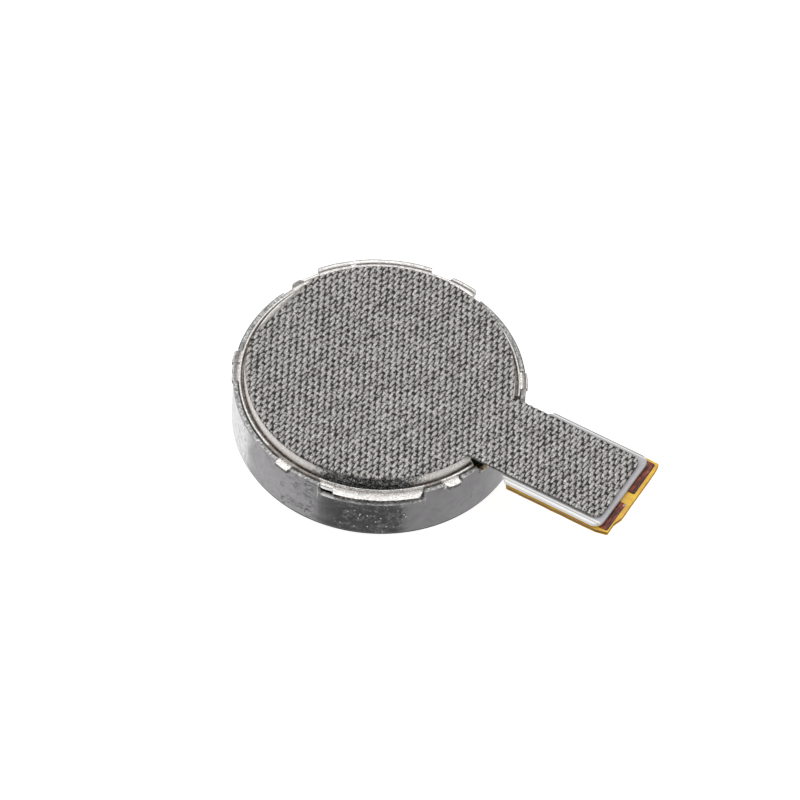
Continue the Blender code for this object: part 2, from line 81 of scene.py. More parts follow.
# Can
CAN_WALL = 0.18
CAN_FLOOR = 0.20
CAN_CORNER = 0.22
RIM_ROUNDING = 0.055
WALL_SPAN = (0.35, 1.66)  # heights between which the wall has points of its own
SEAT_RADIUS = 0.41
SEAT_FLOOR = 0.10

# Bracket
PLATEAU_RADIUS = 4.62
SHOULDER = 0.24
SHEET = 0.19
GROOVE_FLOOR = 2.14
GROOVE_OUTER = 4.73
BEAD_RADIUS = 4.80
BEAD_TOP = 2.30
BEAD_SIDE = 2.262  # the height where the bead's round top ends
EAR_TOP = 2.28
EAR_BOTTOM = 2.11
EDGE_POINTS = 19  # points in the profile of an ear, and of the plain edge between ears
EXIT = (-18.2, 22.8)  # angles between which the tail leaves the bracket

# Each ear: first angle, last angle, reach from the axis, how far its sides slant in at either end,
# its crease's radius, and its outer edge's drop
EARS = (
    (-163.0, -156.5, 5.09, (0.04, 0.03), 4.86, 0.07),
    (-156.2, -147.0, 5.05, (0.03, 0.06), 4.86, 0.06),
    (-104.4, -97.3, 5.12, (0.07, 0.05), 4.83, 0.02),
    (-84.2, -76.5, 5.00, (0.10, 0.05), 4.84, 0.02),
    (-79.0, -42.0, 5.22, (0.18, 0.24), 4.86, 0.00),
    (-33.7, -26.3, 5.15, (0.16, 0.09), 4.83, 0.03),
    (27.0, 36.0, 5.06, (0.05, 0.08), 4.90, 0.04),
    (79.0, 91.5, 5.20, (0.12, 0.05), 5.04, 0.00),
    (91.0, 100.0, 5.04, (0.01, 0.01), 4.90, 0.00),
    (99.3, 145.7, 5.26, (0.07, 0.12), 5.06, 0.00),
    (145.0, 153.0, 5.05, (0.01, 0.01), 4.90, 0.00),
    (152.0, 158.5, 5.14, (0.06, 0.18), 4.90, 0.08),
)
# Each notch in the can's rim: first angle, last angle and the height of its floor
DEEP_NOTCH = (-84.0, -41.6, 1.80)
NOTCHES = (
    (-164.6, -146.4, 2.10),
    (-104.6, -96.9, 2.10),
    DEEP_NOTCH,
    (-33.9, -25.4, 2.10),
    (-17.5, 22.5, 1.95),
    (26.4, 36.6, 2.10),
    (76.0, 162.0, 2.10),
)
# Stretches where the bead is dirty and shaded instead of worn and bright with a painted highlight
DULL_BEAD = ((-111.0, -85.0), (-41.5, -34.0))

# Marks on the metal, some of them painted highlight, shade or dark reflection, as angles between which each
# one fades in and then out again
SMEARED_WALL = (-150.0, -138.0, -124.0, -123.2)
SCRATCHED_WALL = (-110.0, -99.0, -88.0, -84.0)
DUSTY_WALL = (-80.0, -72.0, -50.0, -46.0)
# painted highlight on the ledge at the deep notch's end
BRIGHT_LEDGE = (-82.9, -82.3, -77.7, -77.1)
# painted shade on the deep notch's floor under the wide ear
DARK_LEDGE = (-77.7, -77.1, -43.0, -42.2)
# the plateau's front flank: burnished, and darkened as a painted dark reflection
BURNISHED_AND_REFLECTING_FLANK = (-92.0, -80.0, -50.0, -40.0)
SMEARED_EAR = (129.2, 129.9, 131.2, 131.9)

# Tape, and its plain weave: the pitch of the yarns that run along Y, and of those along X
TAPE_RADIUS = 4.60
TAPE_LEFT = 1.44
TAPE_RIGHT = -1.55
TAPE_END = 9.42
TAPE_CORNER = 0.35
TAPE_FLAT = (151.5, 192.5)  # angles at the ends of its flat cut
WARP_PITCH = 0.1215
WEFT_PITCH = 0.2276

# Tail
STIFF_SKEW = 0.05
STIFF_CHAMFER = 0.30
FLEX_DISC = 3.72
FLEX_WINDOW = 0.65
COVER_WINDOW = 1.70
NECK = 1.22
TAIL_START = 5.98
TAIL_LEFT = 1.77
TAIL_RIGHT = -1.79
TIP_RELIEF = 0.11
POLES = ("positive", "negative")
STRIP_EDGE = -1.58  # the board is whiter to the right of this
# the fine groove has no depth in the mesh: it is a painted dark line of shade
STRIP_LINE = -1.655  # and has a fine groove here

# Coils
COIL_ANGLES = (-56.0, 0.0, 56.0)
COIL_INNER = 1.15
COIL_OUTER = 3.15
COIL_HALF_ANGLE = 25.0
COIL_WINDING = 0.50
COIL_TURNS = 8
COIL_LAYERS = 9
WIRE_GROOVE = 0.012
WIRE_GAP = 0.02

# Camera
CAMERA_ELEVATION = 52.13
CAMERA_AZIMUTH = 27.43
CAMERA_ROLL = 3.59
CAMERA_DISTANCE = 240.44
CAMERA_TARGET = (0.23, 1.15, 0.0)
CAMERA_LENS = 314.6

# Stage: the paper's half size, and how bright the room is at each azimuth, below and above the horizon
FLOOR_SIZE = 500.0
ROOM_BELOW = (
    (-150.0, 0.78),
    (-110.0, 0.74),
    (-105.0, 0.26),
    (-90.0, 0.15),
    (-39.0, 0.145),
    (-36.0, 0.50),
    (25.0, 0.56),
    (90.0, 0.85),
    (120.0, 0.95),
    (150.0, 1.30),
    (174.5, 1.65),
    (176.5, 0.80),
)
ROOM_ABOVE = (
    (-180.0, 0.28),
    (-160.0, 0.75),
    (-110.0, 0.75),
    (-98.0, 0.08),
    (-30.0, 0.08),
    (-22.0, 0.75),
    (40.0, 0.60),
    (58.0, 0.28),
)


# ---------------------------------------------------------------- node graphs


def plain_material(name, colour, roughness, metallic=0.0, glow=0.0):
    """One colour all over, which may shine white as well."""
    made = bpy.data.materials.new(name)
    made.use_nodes = True
    shader = made.node_tree.nodes["Principled BSDF"]
    shader.inputs["Base Color"].default_value = (*colour, 1.0)
    shader.inputs["Roughness"].default_value = roughness
    shader.inputs["Metallic"].default_value = metallic
    if glow > 0.0:
        shader.inputs["Emission Color"].default_value = (1.0, 1.0, 1.0, 1.0)
        shader.inputs["Emission Strength"].default_value = glow
    made.diffuse_color = (*colour, 1.0)
    return made


class Signal:
    """A node's output. Arithmetic on it adds Math nodes."""

    def __init__(self, graph, socket):
        self.graph = graph
        self.socket = socket

    def __add__(self, other):
        return self.graph.math("ADD", self, other)

    def __sub__(self, other):
        return self.graph.math("SUBTRACT", self, other)

    def __rsub__(self, other):
        return self.graph.math("SUBTRACT", other, self)

    def __mul__(self, other):
        return self.graph.math("MULTIPLY", self, other)

    def __truediv__(self, other):
        return self.graph.math("DIVIDE", self, other)

    def __pow__(self, other):
        return self.graph.math("POWER", self, other)

    def __abs__(self):
        return self.graph.math("ABSOLUTE", self)


class Graph:
    """Short calls that add nodes to a node tree."""

    def __init__(self, tree, coordinates="Object"):
        self.nodes = tree.nodes
        self.links = tree.links
        self.place = self.add("ShaderNodeTexCoord", coordinates, {})

    def add(self, kind, output, inputs, **settings):
        """A new node with these settings and inputs; one of its outputs comes back."""
        node = self.nodes.new(kind)
        for key, value in settings.items():
            setattr(node, key, value)
        for name, source in inputs.items():
            self.put(source, node.inputs[name])
        return Signal(self, node.outputs[output])

    def put(self, source, socket):
        """Link a signal to a socket, or set the socket to a number or a colour."""
        if isinstance(source, Signal):
            self.links.new(source.socket, socket)
        elif socket.type == "RGBA":
            socket.default_value = (*source, 1.0)
        else:
            socket.default_value = source

    def scaled(self, per_mm):
        """The position in cycles, with per_mm of them in a millimetre: a number, or one for each axis."""
        scale = per_mm if isinstance(per_mm, tuple) else (per_mm,) * 3
        inputs = {0: self.place, 1: [value / MM for value in scale]}
        return self.add("ShaderNodeVectorMath", 0, inputs, operation="MULTIPLY")

    def noise(self, per_mm, detail=4.0, roughness=0.55, distortion=0.0):
        inputs = {"Vector": self.scaled(per_mm), "Scale": 1.0, "Detail": detail}
        inputs.update({"Roughness": roughness, "Distortion": distortion})
        return self.add("ShaderNodeTexNoise", "Fac", inputs)

    def cells(self, per_mm):
        """The distance to the nearest of some scattered points."""
        return self.add("ShaderNodeTexVoronoi", "Distance", {"Vector": self.scaled(per_mm), "Scale": 1.0})

    def math(self, operation, first, second=0.0):
        return self.add("ShaderNodeMath", 0, {0: first, 1: second}, operation=operation)

    def most(self, first, second):
        return self.math("MAXIMUM", first, second)

    def span(self, value, low_in, high_in, low_out=0.0, high_out=1.0):
        """low_out up to low_in, high_out from high_in on, and a smooth change between them."""
        inputs = {"Value": value, "From Min": low_in, "From Max": high_in}
        inputs.update({"To Min": low_out, "To Max": high_out})
        return self.add("ShaderNodeMapRange", "Result", inputs, interpolation_type="SMOOTHSTEP")

    def window(self, value, rise_from, rise_to, fall_from, fall_to):
        """1 between two soft edges, and 0 outside them."""
        return self.span(value, rise_from, rise_to) * self.span(value, fall_from, fall_to, 1.0, 0.0)

    def mix(self, share, first, second):
        inputs = {"Factor": share, "A": first, "B": second}
        return self.add("ShaderNodeMix", "Result", inputs, data_type="RGBA")

    def ramp(self, value, stops, interpolation="LINEAR"):
        """A colour ramp from (position, colour) stops."""
        colour = self.add("ShaderNodeValToRGB", "Color", {"Fac": value})
        ramp = colour.socket.node.color_ramp
        ramp.interpolation = interpolation
        while len(ramp.elements) < len(stops):
            ramp.elements.new(0.5)
        for element, (position, tone) in zip(ramp.elements, stops):
            element.position = position
            element.color = (*tone, 1.0)
        return colour

    def axis(self, name):
        """The position along one axis, in millimetres."""
        return self.add("ShaderNodeSeparateXYZ", name, {0: self.place}) / MM

    def radius(self):
        """The distance from the Z axis, in millimetres."""
        return self.math("SQRT", self.axis("X") ** 2.0 + self.axis("Y") ** 2.0)

    def angle(self):
        """The angle round the Z axis, in degrees from -180 to 180."""
        return self.math("ARCTAN2", self.axis("Y"), self.axis("X")) * (180.0 / math.pi)

    def attribute(self, name):
        return self.add("ShaderNodeAttribute", "Fac", {}, attribute_name=name)

    def wrap(self, value, lowest, highest):
        return self.add("ShaderNodeMath", 0, {0: value, 1: highest, 2: lowest}, operation="WRAP")

    def random(self, first, second):
        """A number from 0 to 1 for each pair of whole numbers."""
        pair = self.add("ShaderNodeCombineXYZ", 0, {0: first, 1: second})
        return self.add("ShaderNodeTexWhiteNoise", "Value", {"Vector": pair}, noise_dimensions="3D")

    def upward(self):
        """How far the surface faces up, from -1 to 1."""
        normal = self.add("ShaderNodeNewGeometry", "Normal", {})
        return self.add("ShaderNodeSeparateXYZ", "Z", {0: normal})


class Finish(Graph):
    """A material and the nodes that feed its shader."""

    def __init__(self, name, colour, roughness, metallic=0.0):
        self.material = plain_material(name, colour, roughness, metallic)
        super().__init__(self.material.node_tree)
        self.shader = self.nodes["Principled BSDF"]

    def set(self, name, source):
        self.put(source, self.shader.inputs[name])

    def bump(self, height, depth, strength=1.0):
        """Relief from a height of 0 to 1, depth millimetres deep."""
        inputs = {"Height": height, "Distance": depth * MM, "Strength": strength}
        self.set("Normal", self.add("ShaderNodeBump", "Normal", inputs))


# ---------------------------------------------------------------- camera, lights and floor


def make_camera():
    data = bpy.data.cameras.new("camera")
    camera = bpy.data.objects.new("camera", data)
    bpy.context.scene.collection.objects.link(camera)
    turn, rise = math.radians(CAMERA_AZIMUTH), math.radians(CAMERA_ELEVATION)
    back = Vector((math.sin(turn) * math.cos(rise), -math.cos(turn) * math.cos(rise), math.sin(rise)))
    place = (Vector(CAMERA_TARGET) + back * CAMERA_DISTANCE) * MM
    aim = (-back).to_track_quat("-Z", "Y").to_matrix().to_4x4()
    roll = Matrix.Rotation(math.radians(CAMERA_ROLL), 4, Vector((0.0, 0.0, 1.0)))
    camera.matrix_world = Matrix.Translation(place) @ aim @ roll
    data.lens = CAMERA_LENS
    data.sensor_width = 36.0
    data.clip_start = 0.01
    data.clip_end = 5.0
    bpy.context.scene.camera = camera


def softbox(name, azimuth, elevation, distance, size, brightness):
    """A soft light in that direction from the motor, as bright as a sheet of that radiance."""
    data = bpy.data.lights.new(name, "AREA")
    data.shape = "RECTANGLE"
    data.size, data.size_y = size[0] * MM, size[1] * MM
    data.energy = brightness * math.pi * data.size * data.size_y
    light = bpy.data.objects.new(name, data)
    bpy.context.scene.collection.objects.link(light)
    flat, height = polar(distance, elevation)
    place = Vector((*polar(flat, azimuth), height))
    light.location = place * MM
    light.rotation_mode = "QUATERNION"
    light.rotation_quaternion = (-place).to_track_quat("-Z", "Y")
    return light


def room_level(graph, share, stops):
    """The room's grey at each share of a full turn, from (azimuth, brightness) stops."""
    tones = [((degrees + 180.0) / 360.0, (level,) * 3) for degrees, level in stops]
    return graph.ramp(share, tones, "EASE")


def studio_world():
    """A soft white room with a darker stretch where the photographer stands, floor included."""
    world = bpy.data.worlds.new("studio")
    world.use_nodes = True
    g = Graph(world.node_tree, "Generated")
    x, y, z = (g.add("ShaderNodeSeparateXYZ", name, {0: g.place}) for name in "XYZ")
    inputs = {"Value": g.math("ARCTAN2", y, x), "From Min": -math.pi, "From Max": math.pi}
    share = g.add("ShaderNodeMapRange", "Result", inputs)
    below, above = room_level(g, share, ROOM_BELOW), room_level(g, share, ROOM_ABOVE)
    g.put(g.mix(g.span(z, -0.15, 0.15), below, above), g.nodes["Background"].inputs["Color"])
    bpy.context.scene.world = world


def stage_object(name, shape, material):
    mesh = bpy.data.meshes.new(name)
    shape.to_mesh(mesh)
    shape.free()
    mesh.materials.append(material)
    obj = bpy.data.objects.new(name, mesh)
    bpy.context.scene.collection.objects.link(obj)
    obj.visible_glossy = False
    return obj


def make_stage():
    """White paper underfoot and round about, soft lights, and the room that the metal mirrors."""
    shape = bmesh.new()
    bmesh.ops.create_grid(shape, x_segments=1, y_segments=1, size=FLOOR_SIZE * MM)
    floor = stage_object("floor", shape, plain_material("white paper", (0.35,) * 3, 0.9, glow=0.9))
    floor.location.z = -0.005 * MM

    shape = bmesh.new()
    bmesh.ops.create_uvsphere(shape, u_segments=48, v_segments=24, radius=FLOOR_SIZE * MM)
    white = plain_material("white backdrop", (0.0,) * 3, 1.0, glow=1.1)
    backdrop = stage_object("backdrop", shape, white)
    backdrop.visible_diffuse = False
    backdrop.visible_shadow = False

    studio_world()
    softbox("key softbox", 112.0, 68.0, 300.0, (300.0, 300.0), 1.40)
    softbox("left softbox", 192.0, 42.0, 300.0, (200.0, 170.0), 1.2)
    softbox("right softbox", 12.0, 50.0, 300.0, (180.0, 150.0), 1.1)
    fill = softbox("front fill", -85.0, 30.0, 300.0, (220.0, 110.0), 2.2)
    fill.visible_glossy = False
    bpy.context.scene.view_settings.view_transform = "Standard"


# ---------------------------------------------------------------- materials


def can_steel():
    """Nickel-plated drawn steel: drawing lines, smears, scratches, specks and a sheared rim, with a painted
    highlight and painted shade at the deep notch and painted dark lines of shade round the foot and along
    the back of the rim.
    """
    g = Finish("nickel plated steel", (0.40, 0.39, 0.40), 0.2, 1.0)
    angle, radius, height = g.angle(), g.radius(), g.axis("Z")
    lines = g.noise((7.0, 7.0, 0.6), 4.0, 0.6)
    blotch = g.noise(1.1, 4.0, 0.6, 1.2)
    skin = [(0.30, (0.34, 0.33, 0.34)), (0.50, (0.40, 0.39, 0.40)), (0.72, (0.45, 0.44, 0.45))]
    tone = g.ramp(blotch, skin)
    tone = g.mix(g.span(lines, 0.4, 0.75, 0.0, 0.2), tone, (0.50, 0.49, 0.50))

    # dark smears, scratches and smudges
    swirl = g.span(g.noise((2.6, 2.6, 2.0), 4.0, 0.6, 2.2), 0.46, 0.60)
    tone = g.mix(g.window(angle, *SMEARED_WALL) * swirl * 0.7, tone, (0.18,) * 3)
    scratch = g.span(abs(g.noise((2.2, 2.2, 5.0), 3.0, 0.6, 0.7) - 0.5), 0.01, 0.07, 1.0, 0.0)
    scratch = scratch * g.span(g.noise(2.4, 3.0), 0.47, 0.56) * g.window(angle, *SCRATCHED_WALL)
    smudge = g.span(g.noise(2.0, 5.0, 0.65, 0.5), 0.58, 0.68) * 0.35
    tone = g.mix(g.most(scratch * 0.9, smudge), tone, (0.10, 0.10, 0.105))

    # pale specks and dust
    dusty = g.window(angle, *DUSTY_WALL)
    speck = g.span(g.cells(5.6), 0.09, 0.22, 1.0, 0.0) * g.span(g.noise(2.0, 2.0), 0.40, 0.52)
    haze = g.span(g.noise(5.0, 5.0, 0.7), 0.45, 0.75, 0.0, 0.35) * dusty
    speck = g.most(speck * g.most(dusty, 0.2), haze)
    tone = g.mix(speck, tone, (0.72, 0.71, 0.70))

    # the sheared rim, and the floor of the deep notch, with a painted highlight on its ledge and painted
    # shade under the wide ear
    tear = g.noise(11.0, 4.0, 0.7)
    torn_and_shaded = [(0.32, (0.12, 0.12, 0.12)), (0.48, (0.40, 0.40, 0.39)), (0.64, (0.90, 0.89, 0.87))]
    cut_and_shade = g.attribute("cut_and_shade")
    tone = g.mix(cut_and_shade, tone, g.ramp(tear, torn_and_shaded))
    deep = g.window(height, 1.70, 1.76, 1.90, 2.0)
    # painted highlight: the ledge is painted near white
    ledge = g.window(angle, *BRIGHT_LEDGE) * deep * g.span(radius, 4.89, 4.92)
    tone = g.mix(ledge, tone, (0.96, 0.95, 0.93))
    # painted shade: the floor under the wide ear is painted nearly black
    under = g.window(angle, *DARK_LEDGE) * deep * g.span(radius, 4.94, 4.96, 1.0, 0.0)
    tone = g.mix(under * 0.9, tone, (0.07, 0.07, 0.07))

    # painted shade: a dark line round the foot, where the can meets the floor, and along the rim's outer
    # edge at the back
    away = g.most(1.0 - g.span(angle, -163.5, -162.0), g.span(angle, 30.0, 36.0))
    outer = g.span(height, 2.13, 2.15) * g.span(radius, 4.955, 4.970)
    line = g.most(g.span(height, 0.17, 0.24, 1.0, 0.0), away * outer)
    g.set("Base Color", g.mix(line, tone, (0.05, 0.05, 0.055)))
    g.set("Specular IOR Level", 0.0)
    g.set("Metallic", 1.0 - g.most(g.most(cut_and_shade * 0.8, speck * 0.9), line))
    g.set("Roughness", g.span(blotch, 0.3, 0.75, 0.13, 0.24) + g.most(cut_and_shade, line) * 0.35)
    g.bump(lines * 0.4 + blotch * 1.2 + tear * cut_and_shade * 4.0, 0.010, 0.5)
    return g.material


def bracket_steel():
    """Pressed plate with matt pale flecks, sheared ear edges darkened with painted shade, a worn bead and a
    flank painted pale as highlights, and brown grime with painted shade in its groove.
    """
    g = Finish("pressed bracket steel", (0.78, 0.75, 0.72), 0.26, 1.0)
    angle, radius, height, upward = g.angle(), g.radius(), g.axis("Z"), g.upward()
    grain = g.noise(13.0, 4.0, 0.65, 0.6)
    fleck = g.span(g.noise(9.0, 4.0, 0.7, 1.0), 0.50, 0.60)
    plate = [(0.32, (0.62, 0.60, 0.58)), (0.46, (0.78, 0.755, 0.73)), (0.62, (0.90, 0.88, 0.86))]
    tone = g.ramp(grain, plate)
    tone = g.mix(g.span(g.noise(1.6, 3.0), 0.45, 0.7, 0.0, 0.2), tone, (0.62, 0.60, 0.59))
    tone = g.mix(fleck, tone, (0.93, 0.90, 0.87))

    # worn places painted pale as highlights, sheared places darkened with painted shade, and dirty places
    # darkened with painted shade, from the mesh's own fields
    wear_and_highlight = g.attribute("wear_and_highlight")
    # painted highlight: worn places, the bead above all, are painted near white
    tone = g.mix(wear_and_highlight * 0.8, tone, (0.97, 0.96, 0.94))
    # painted shade: sheared ear ends, the back ears' creases and tilted ear tops are painted nearly black
    tone = g.mix(g.attribute("cut_and_shade") * 0.85, tone, (0.11, 0.105, 0.10))
    # painted shade: brown grime darkens the groove, the ears' undersides and the dull stretches of bead
    grime_and_shade = g.attribute("grime_and_shade") * g.span(g.noise(2.2, 4.0, 0.6), 0.25, 0.6, 0.6, 1.0)
    dirt_and_shade_tone = g.ramp(g.noise(7.0, 3.0), [(0.3, (0.13, 0.10, 0.082)), (0.7, (0.34, 0.28, 0.24))])
    tone = g.mix(grime_and_shade, tone, dirt_and_shade_tone)

    # the plateau's flank: painted pale all round as a highlight, but dark and burnished at the front, partly
    # as a painted dark reflection
    flank = g.window(radius, 4.45, 4.55, 4.74, 4.77)
    frayed = angle + g.span(grain, 0.3, 0.7, -6.0, 6.0)
    front = g.window(frayed, *BURNISHED_AND_REFLECTING_FLANK)
    # painted highlight: the flank's top is painted pale and matt
    pale = flank * g.span(height, 2.24, 2.32) * (1.0 - front) * 0.8
    tone = g.mix(pale, tone, (0.86, 0.82, 0.78))
    # painted dark reflection with pale flecks at the front
    rubbed_and_reflected = [(0.44, (0.065, 0.065, 0.068)), (0.53, (0.20, 0.20, 0.20)), (0.62, (0.88, 0.86, 0.84))]
    tone = g.mix(flank * front, tone, g.ramp(g.noise(12.0, 4.0, 0.7, 0.8), rubbed_and_reflected))
    smear = g.window(angle, *SMEARED_EAR) * g.span(radius, 4.92, 4.98, 0.0, 0.85)
    tone = g.mix(smear * g.span(upward, 0.5, 0.8), tone, (0.92, 0.92, 0.92))
    g.set("Base Color", tone)
    side = g.span(upward, 0.2, 0.7, 0.8, 0.0)
    matt = g.most(g.most(fleck * 0.7, grime_and_shade * 0.6), g.most(wear_and_highlight * side, pale))
    g.set("Metallic", 1.0 - matt)
    g.set("Roughness", g.span(grain, 0.3, 0.7, 0.18, 0.34))
    g.bump(grain + fleck * 0.3, 0.016, 0.7)
    return g.material


def conductive_cloth():
    """Metal-coated plain weave, drawn from each point's place among the yarns.

    Crowns of the yarns along Y fill the face in a chequer pattern, one to every second row of each
    column, with a pit between the ends of two crowns where a yarn along X dips through, painted dark as
    shade.
    """
    g = Finish("woven conductive cloth", (0.35, 0.33, 0.32), 0.5, 0.0)
    across = g.attribute("warp_turns") + (g.noise(11.0, 3.0, 0.75) - 0.5)
    along = g.attribute("weft_turns") + (g.noise(12.5, 3.0, 0.75) - 0.5)
    column = g.math("ROUND", across)
    offset = across - column
    shifted = along - g.math("FLOORED_MODULO", column, 2.0) + offset * 0.14
    side = abs(offset)
    end = g.wrap(shifted, -1.0, 1.0)
    tint = g.random(column, g.math("ROUND", shifted / 2.0))
    fibre = g.noise((15.0, 5.0, 5.0), 3.0, 0.6, 0.8)
    mottle = g.noise(15.0, 2.0, 0.6)
    body = (side / 0.60) ** 2.0 + abs(end) ** 2.4 * 1.25
    crown = fibre * 0.8 + mottle * 1.9 - 0.07 - body * 0.98 + (tint - 0.5) * 0.24
    # painted shade: the ramp darkens the pits between crowns and the crowns' sides
    pit = [(0.14, (0.008, 0.007, 0.006)), (0.42, (0.050, 0.046, 0.043))]
    thread = [(0.66, (0.250, 0.236, 0.226)), (1.00, (0.58, 0.56, 0.54))]
    tone = g.ramp(crown, pit + thread)

    # painted highlights on the tips, painted sheen streaks and painted glints, then painted shade in the
    # pits and a painted shadow along the outline
    # painted highlight on the lower tip of each crown
    tip = g.window(end, -0.80, -0.50, -0.45, -0.05) * g.span(side, 0.12, 0.36, 1.0, 0.0)
    tone = g.mix(tip * g.span(tint + mottle, 0.7, 1.4, 0.0, 0.8), tone, (0.90, 0.89, 0.87))
    # painted highlight streaks along the crowns
    streak = g.span(fibre, 0.52, 0.60) * g.span(crown, 0.30, 0.55)
    tone = g.mix(streak * 0.80, tone, (0.74, 0.72, 0.70))
    glint = g.span(g.noise(14.0, 2.0, 0.6), 0.57, 0.64) * g.span(crown, 0.40, 0.65)
    tone = g.mix(glint * 0.85, tone, (0.95, 0.94, 0.92))
    # painted shade: darker specks in the pits
    tone = g.mix(g.span(mottle, 0.35, 0.44, 0.75, 0.0), tone, (0.040, 0.037, 0.034))
    # painted shadow along the tape's edge
    tone = g.mix(g.attribute("edge") * 0.75, tone, (0.045, 0.042, 0.040))
    g.set("Base Color", tone)
    g.set("Metallic", g.span(crown, 0.3, 0.8, 0.0, 0.35))
    g.set("Roughness", g.span(fibre, 0.3, 0.7, 0.34, 0.56))
    g.bump(crown, 0.030, 0.9)
    return g.material


def stiffener_board():
    """Matt lilac-grey board with pale sides, partly painted light, and a whiter strip and a groove, painted
    as a dark line of shade, along its right edge.
    """
    g = Finish("stiffener board", (0.50, 0.485, 0.50), 0.42)
    across = g.axis("Y")
    grain = g.noise(24.0, 3.0, 0.6)
    tone = g.ramp(g.noise(1.4, 4.0), [(0.3, (0.44, 0.43, 0.45)), (0.7, (0.54, 0.53, 0.55))])
    tone = g.mix(g.span(grain, 0.4, 0.75, 0.0, 0.3), tone, (0.64, 0.63, 0.65))
    strip = g.span(across, STRIP_EDGE - 0.02, STRIP_EDGE + 0.04, 1.0, 0.0)
    far = g.span(across, TAPE_LEFT + 0.10, TAPE_LEFT + 0.16)
    tone = g.mix(g.most(strip, far), tone, (0.95, 0.95, 0.94))
    # painted shade: the fine groove is only a dark line
    tone = g.mix(g.span(abs(across - STRIP_LINE), 0.010, 0.035, 0.55, 0.0), tone, (0.16, 0.16, 0.16))
    brink = g.span(across, STIFF_HIGH.y - 0.070, STIFF_HIGH.y - 0.045, 0.0, 0.8)
    tone = g.mix(brink, tone, (0.15, 0.15, 0.15))
    # the sides are paler, partly as painted light falling on them
    tone = g.mix(g.span(g.upward(), 0.1, 0.5, 0.75, 0.0), tone, (0.62, 0.61, 0.60))
    g.set("Base Color", tone)
    g.set("Roughness", g.span(grain, 0.3, 0.7, 0.34, 0.50))
    g.bump(grain, 0.004, 0.5)
    return g.material


def polyimide():
    """Amber film, with browner blotches and a brown cut edge."""
    g = Finish("polyimide film", (0.90, 0.50, 0.03), 0.28)
    cloud = g.noise(1.8, 4.0, 0.6)
    grain = g.noise(9.0, 4.0, 0.65)
    amber = [(0.32, (0.66, 0.32, 0.006)), (0.50, (0.80, 0.46, 0.008)), (0.70, (0.92, 0.64, 0.015))]
    tone = g.ramp(cloud, amber)
    tone = g.mix(g.span(grain, 0.58, 0.72, 0.0, 0.40), tone, (0.44, 0.20, 0.010))
    strip = g.span(g.axis("Y"), TAIL_RIGHT + 0.05, TAIL_RIGHT + 0.12, 0.3, 0.0)
    tone = g.mix(strip, tone, (0.34, 0.21, 0.06))
    middle = (COVER_BOTTOM + FILM_TOP) / 2
    upper = g.span(g.axis("Z"), middle - 0.02, middle + 0.02)
    edge = g.mix(upper, (0.74, 0.43, 0.03), (0.15, 0.07, 0.02))
    edge = g.mix(g.span(grain, 0.50, 0.60, 0.0, 0.8), edge, (0.20, 0.09, 0.02))
    g.set("Base Color", g.mix(g.span(g.upward(), 0.70, 0.97, 0.95, 0.0), tone, edge))
    g.set("Roughness", g.span(grain, 0.3, 0.7, 0.22, 0.38))
    g.set("Coat Weight", 0.3)
    g.bump(cloud, 0.02, 0.4)
    return g.material


def contact_land():
    """Oxidised copper land, dark red-brown with paler streaks and a few bright nicks."""
    g = Finish("oxidised contact land", (0.13, 0.035, 0.014), 0.4)
    streak = g.noise((9.0, 1.6, 1.6), 3.0, 0.6)
    patch = g.noise(5.5, 4.0, 0.7)
    browns = [(0.38, (0.030, 0.005, 0.004)), (0.50, (0.12, 0.018, 0.008)), (0.62, (0.38, 0.08, 0.035))]
    tone = g.ramp(streak * 0.6 + patch * 0.4, browns)
    nick = g.span(g.cells((5.0, 1.9, 1.9)), 0.06, 0.16, 1.0, 0.0)
    g.set("Base Color", g.mix(nick, tone, (0.80, 0.66, 0.50)))
    g.set("Metallic", g.span(patch, 0.5, 0.8, 0.0, 0.4))
    g.set("Roughness", g.span(patch, 0.3, 0.7, 0.5, 0.34))
    g.bump(patch, 0.02, 0.7)
    return g.material


def grained(name, dark, light, roughness, metallic=0.0, per_mm=8.0, depth=0.004):
    """A two-tone grain for the small inner pieces."""
    g = Finish(name, light, roughness, metallic)
    grain = g.noise(per_mm, 4.0, 0.6)
    g.set("Base Color", g.ramp(grain, [(0.32, dark), (0.68, light)]))
    g.set("Roughness", g.span(grain, 0.3, 0.7, roughness - 0.06, roughness + 0.08))
    g.bump(grain, depth, 0.5)
    return g.material


def turned_metal(name, dark, light, roughness, per_mm=40.0):
    """Metal with turning lines round the Z axis."""
    g = Finish(name, light, roughness, 1.0)
    lines = g.noise((0.4, 0.4, per_mm), 3.0, 0.6)
    g.set("Base Color", g.ramp(g.noise(2.5, 3.0), [(0.3, dark), (0.7, light)]))
    g.set("Roughness", g.span(lines, 0.3, 0.7, roughness - 0.06, roughness + 0.08))
    g.bump(lines, 0.003, 0.5)
    return g.material


def sintered_bronze():
    g = Finish("sintered bronze", (0.50, 0.34, 0.20), 0.5, 1.0)
    pores = g.span(g.cells(22.0), 0.05, 0.28)
    g.set("Base Color", g.mix(pores, (0.16, 0.10, 0.06), (0.56, 0.38, 0.22)))
    g.set("Roughness", g.span(pores, 0.0, 1.0, 0.7, 0.42))
    g.bump(pores, 0.012, 0.7)
    return g.material


def rotor_laminate():
    """Green solder resist over glass weave."""
    g = Finish("rotor board laminate", (0.015, 0.08, 0.036), 0.32)
    glass = (g.noise((14.0, 1.2, 1.2), 2.0) + g.noise((1.2, 14.0, 1.2), 2.0)) * 0.5
    g.set("Base Color", g.ramp(glass, [(0.38, (0.008, 0.045, 0.022)), (0.62, (0.022, 0.11, 0.05))]))
    g.set("Coat Weight", 0.4)
    g.bump(glass, 0.006, 0.4)
    return g.material


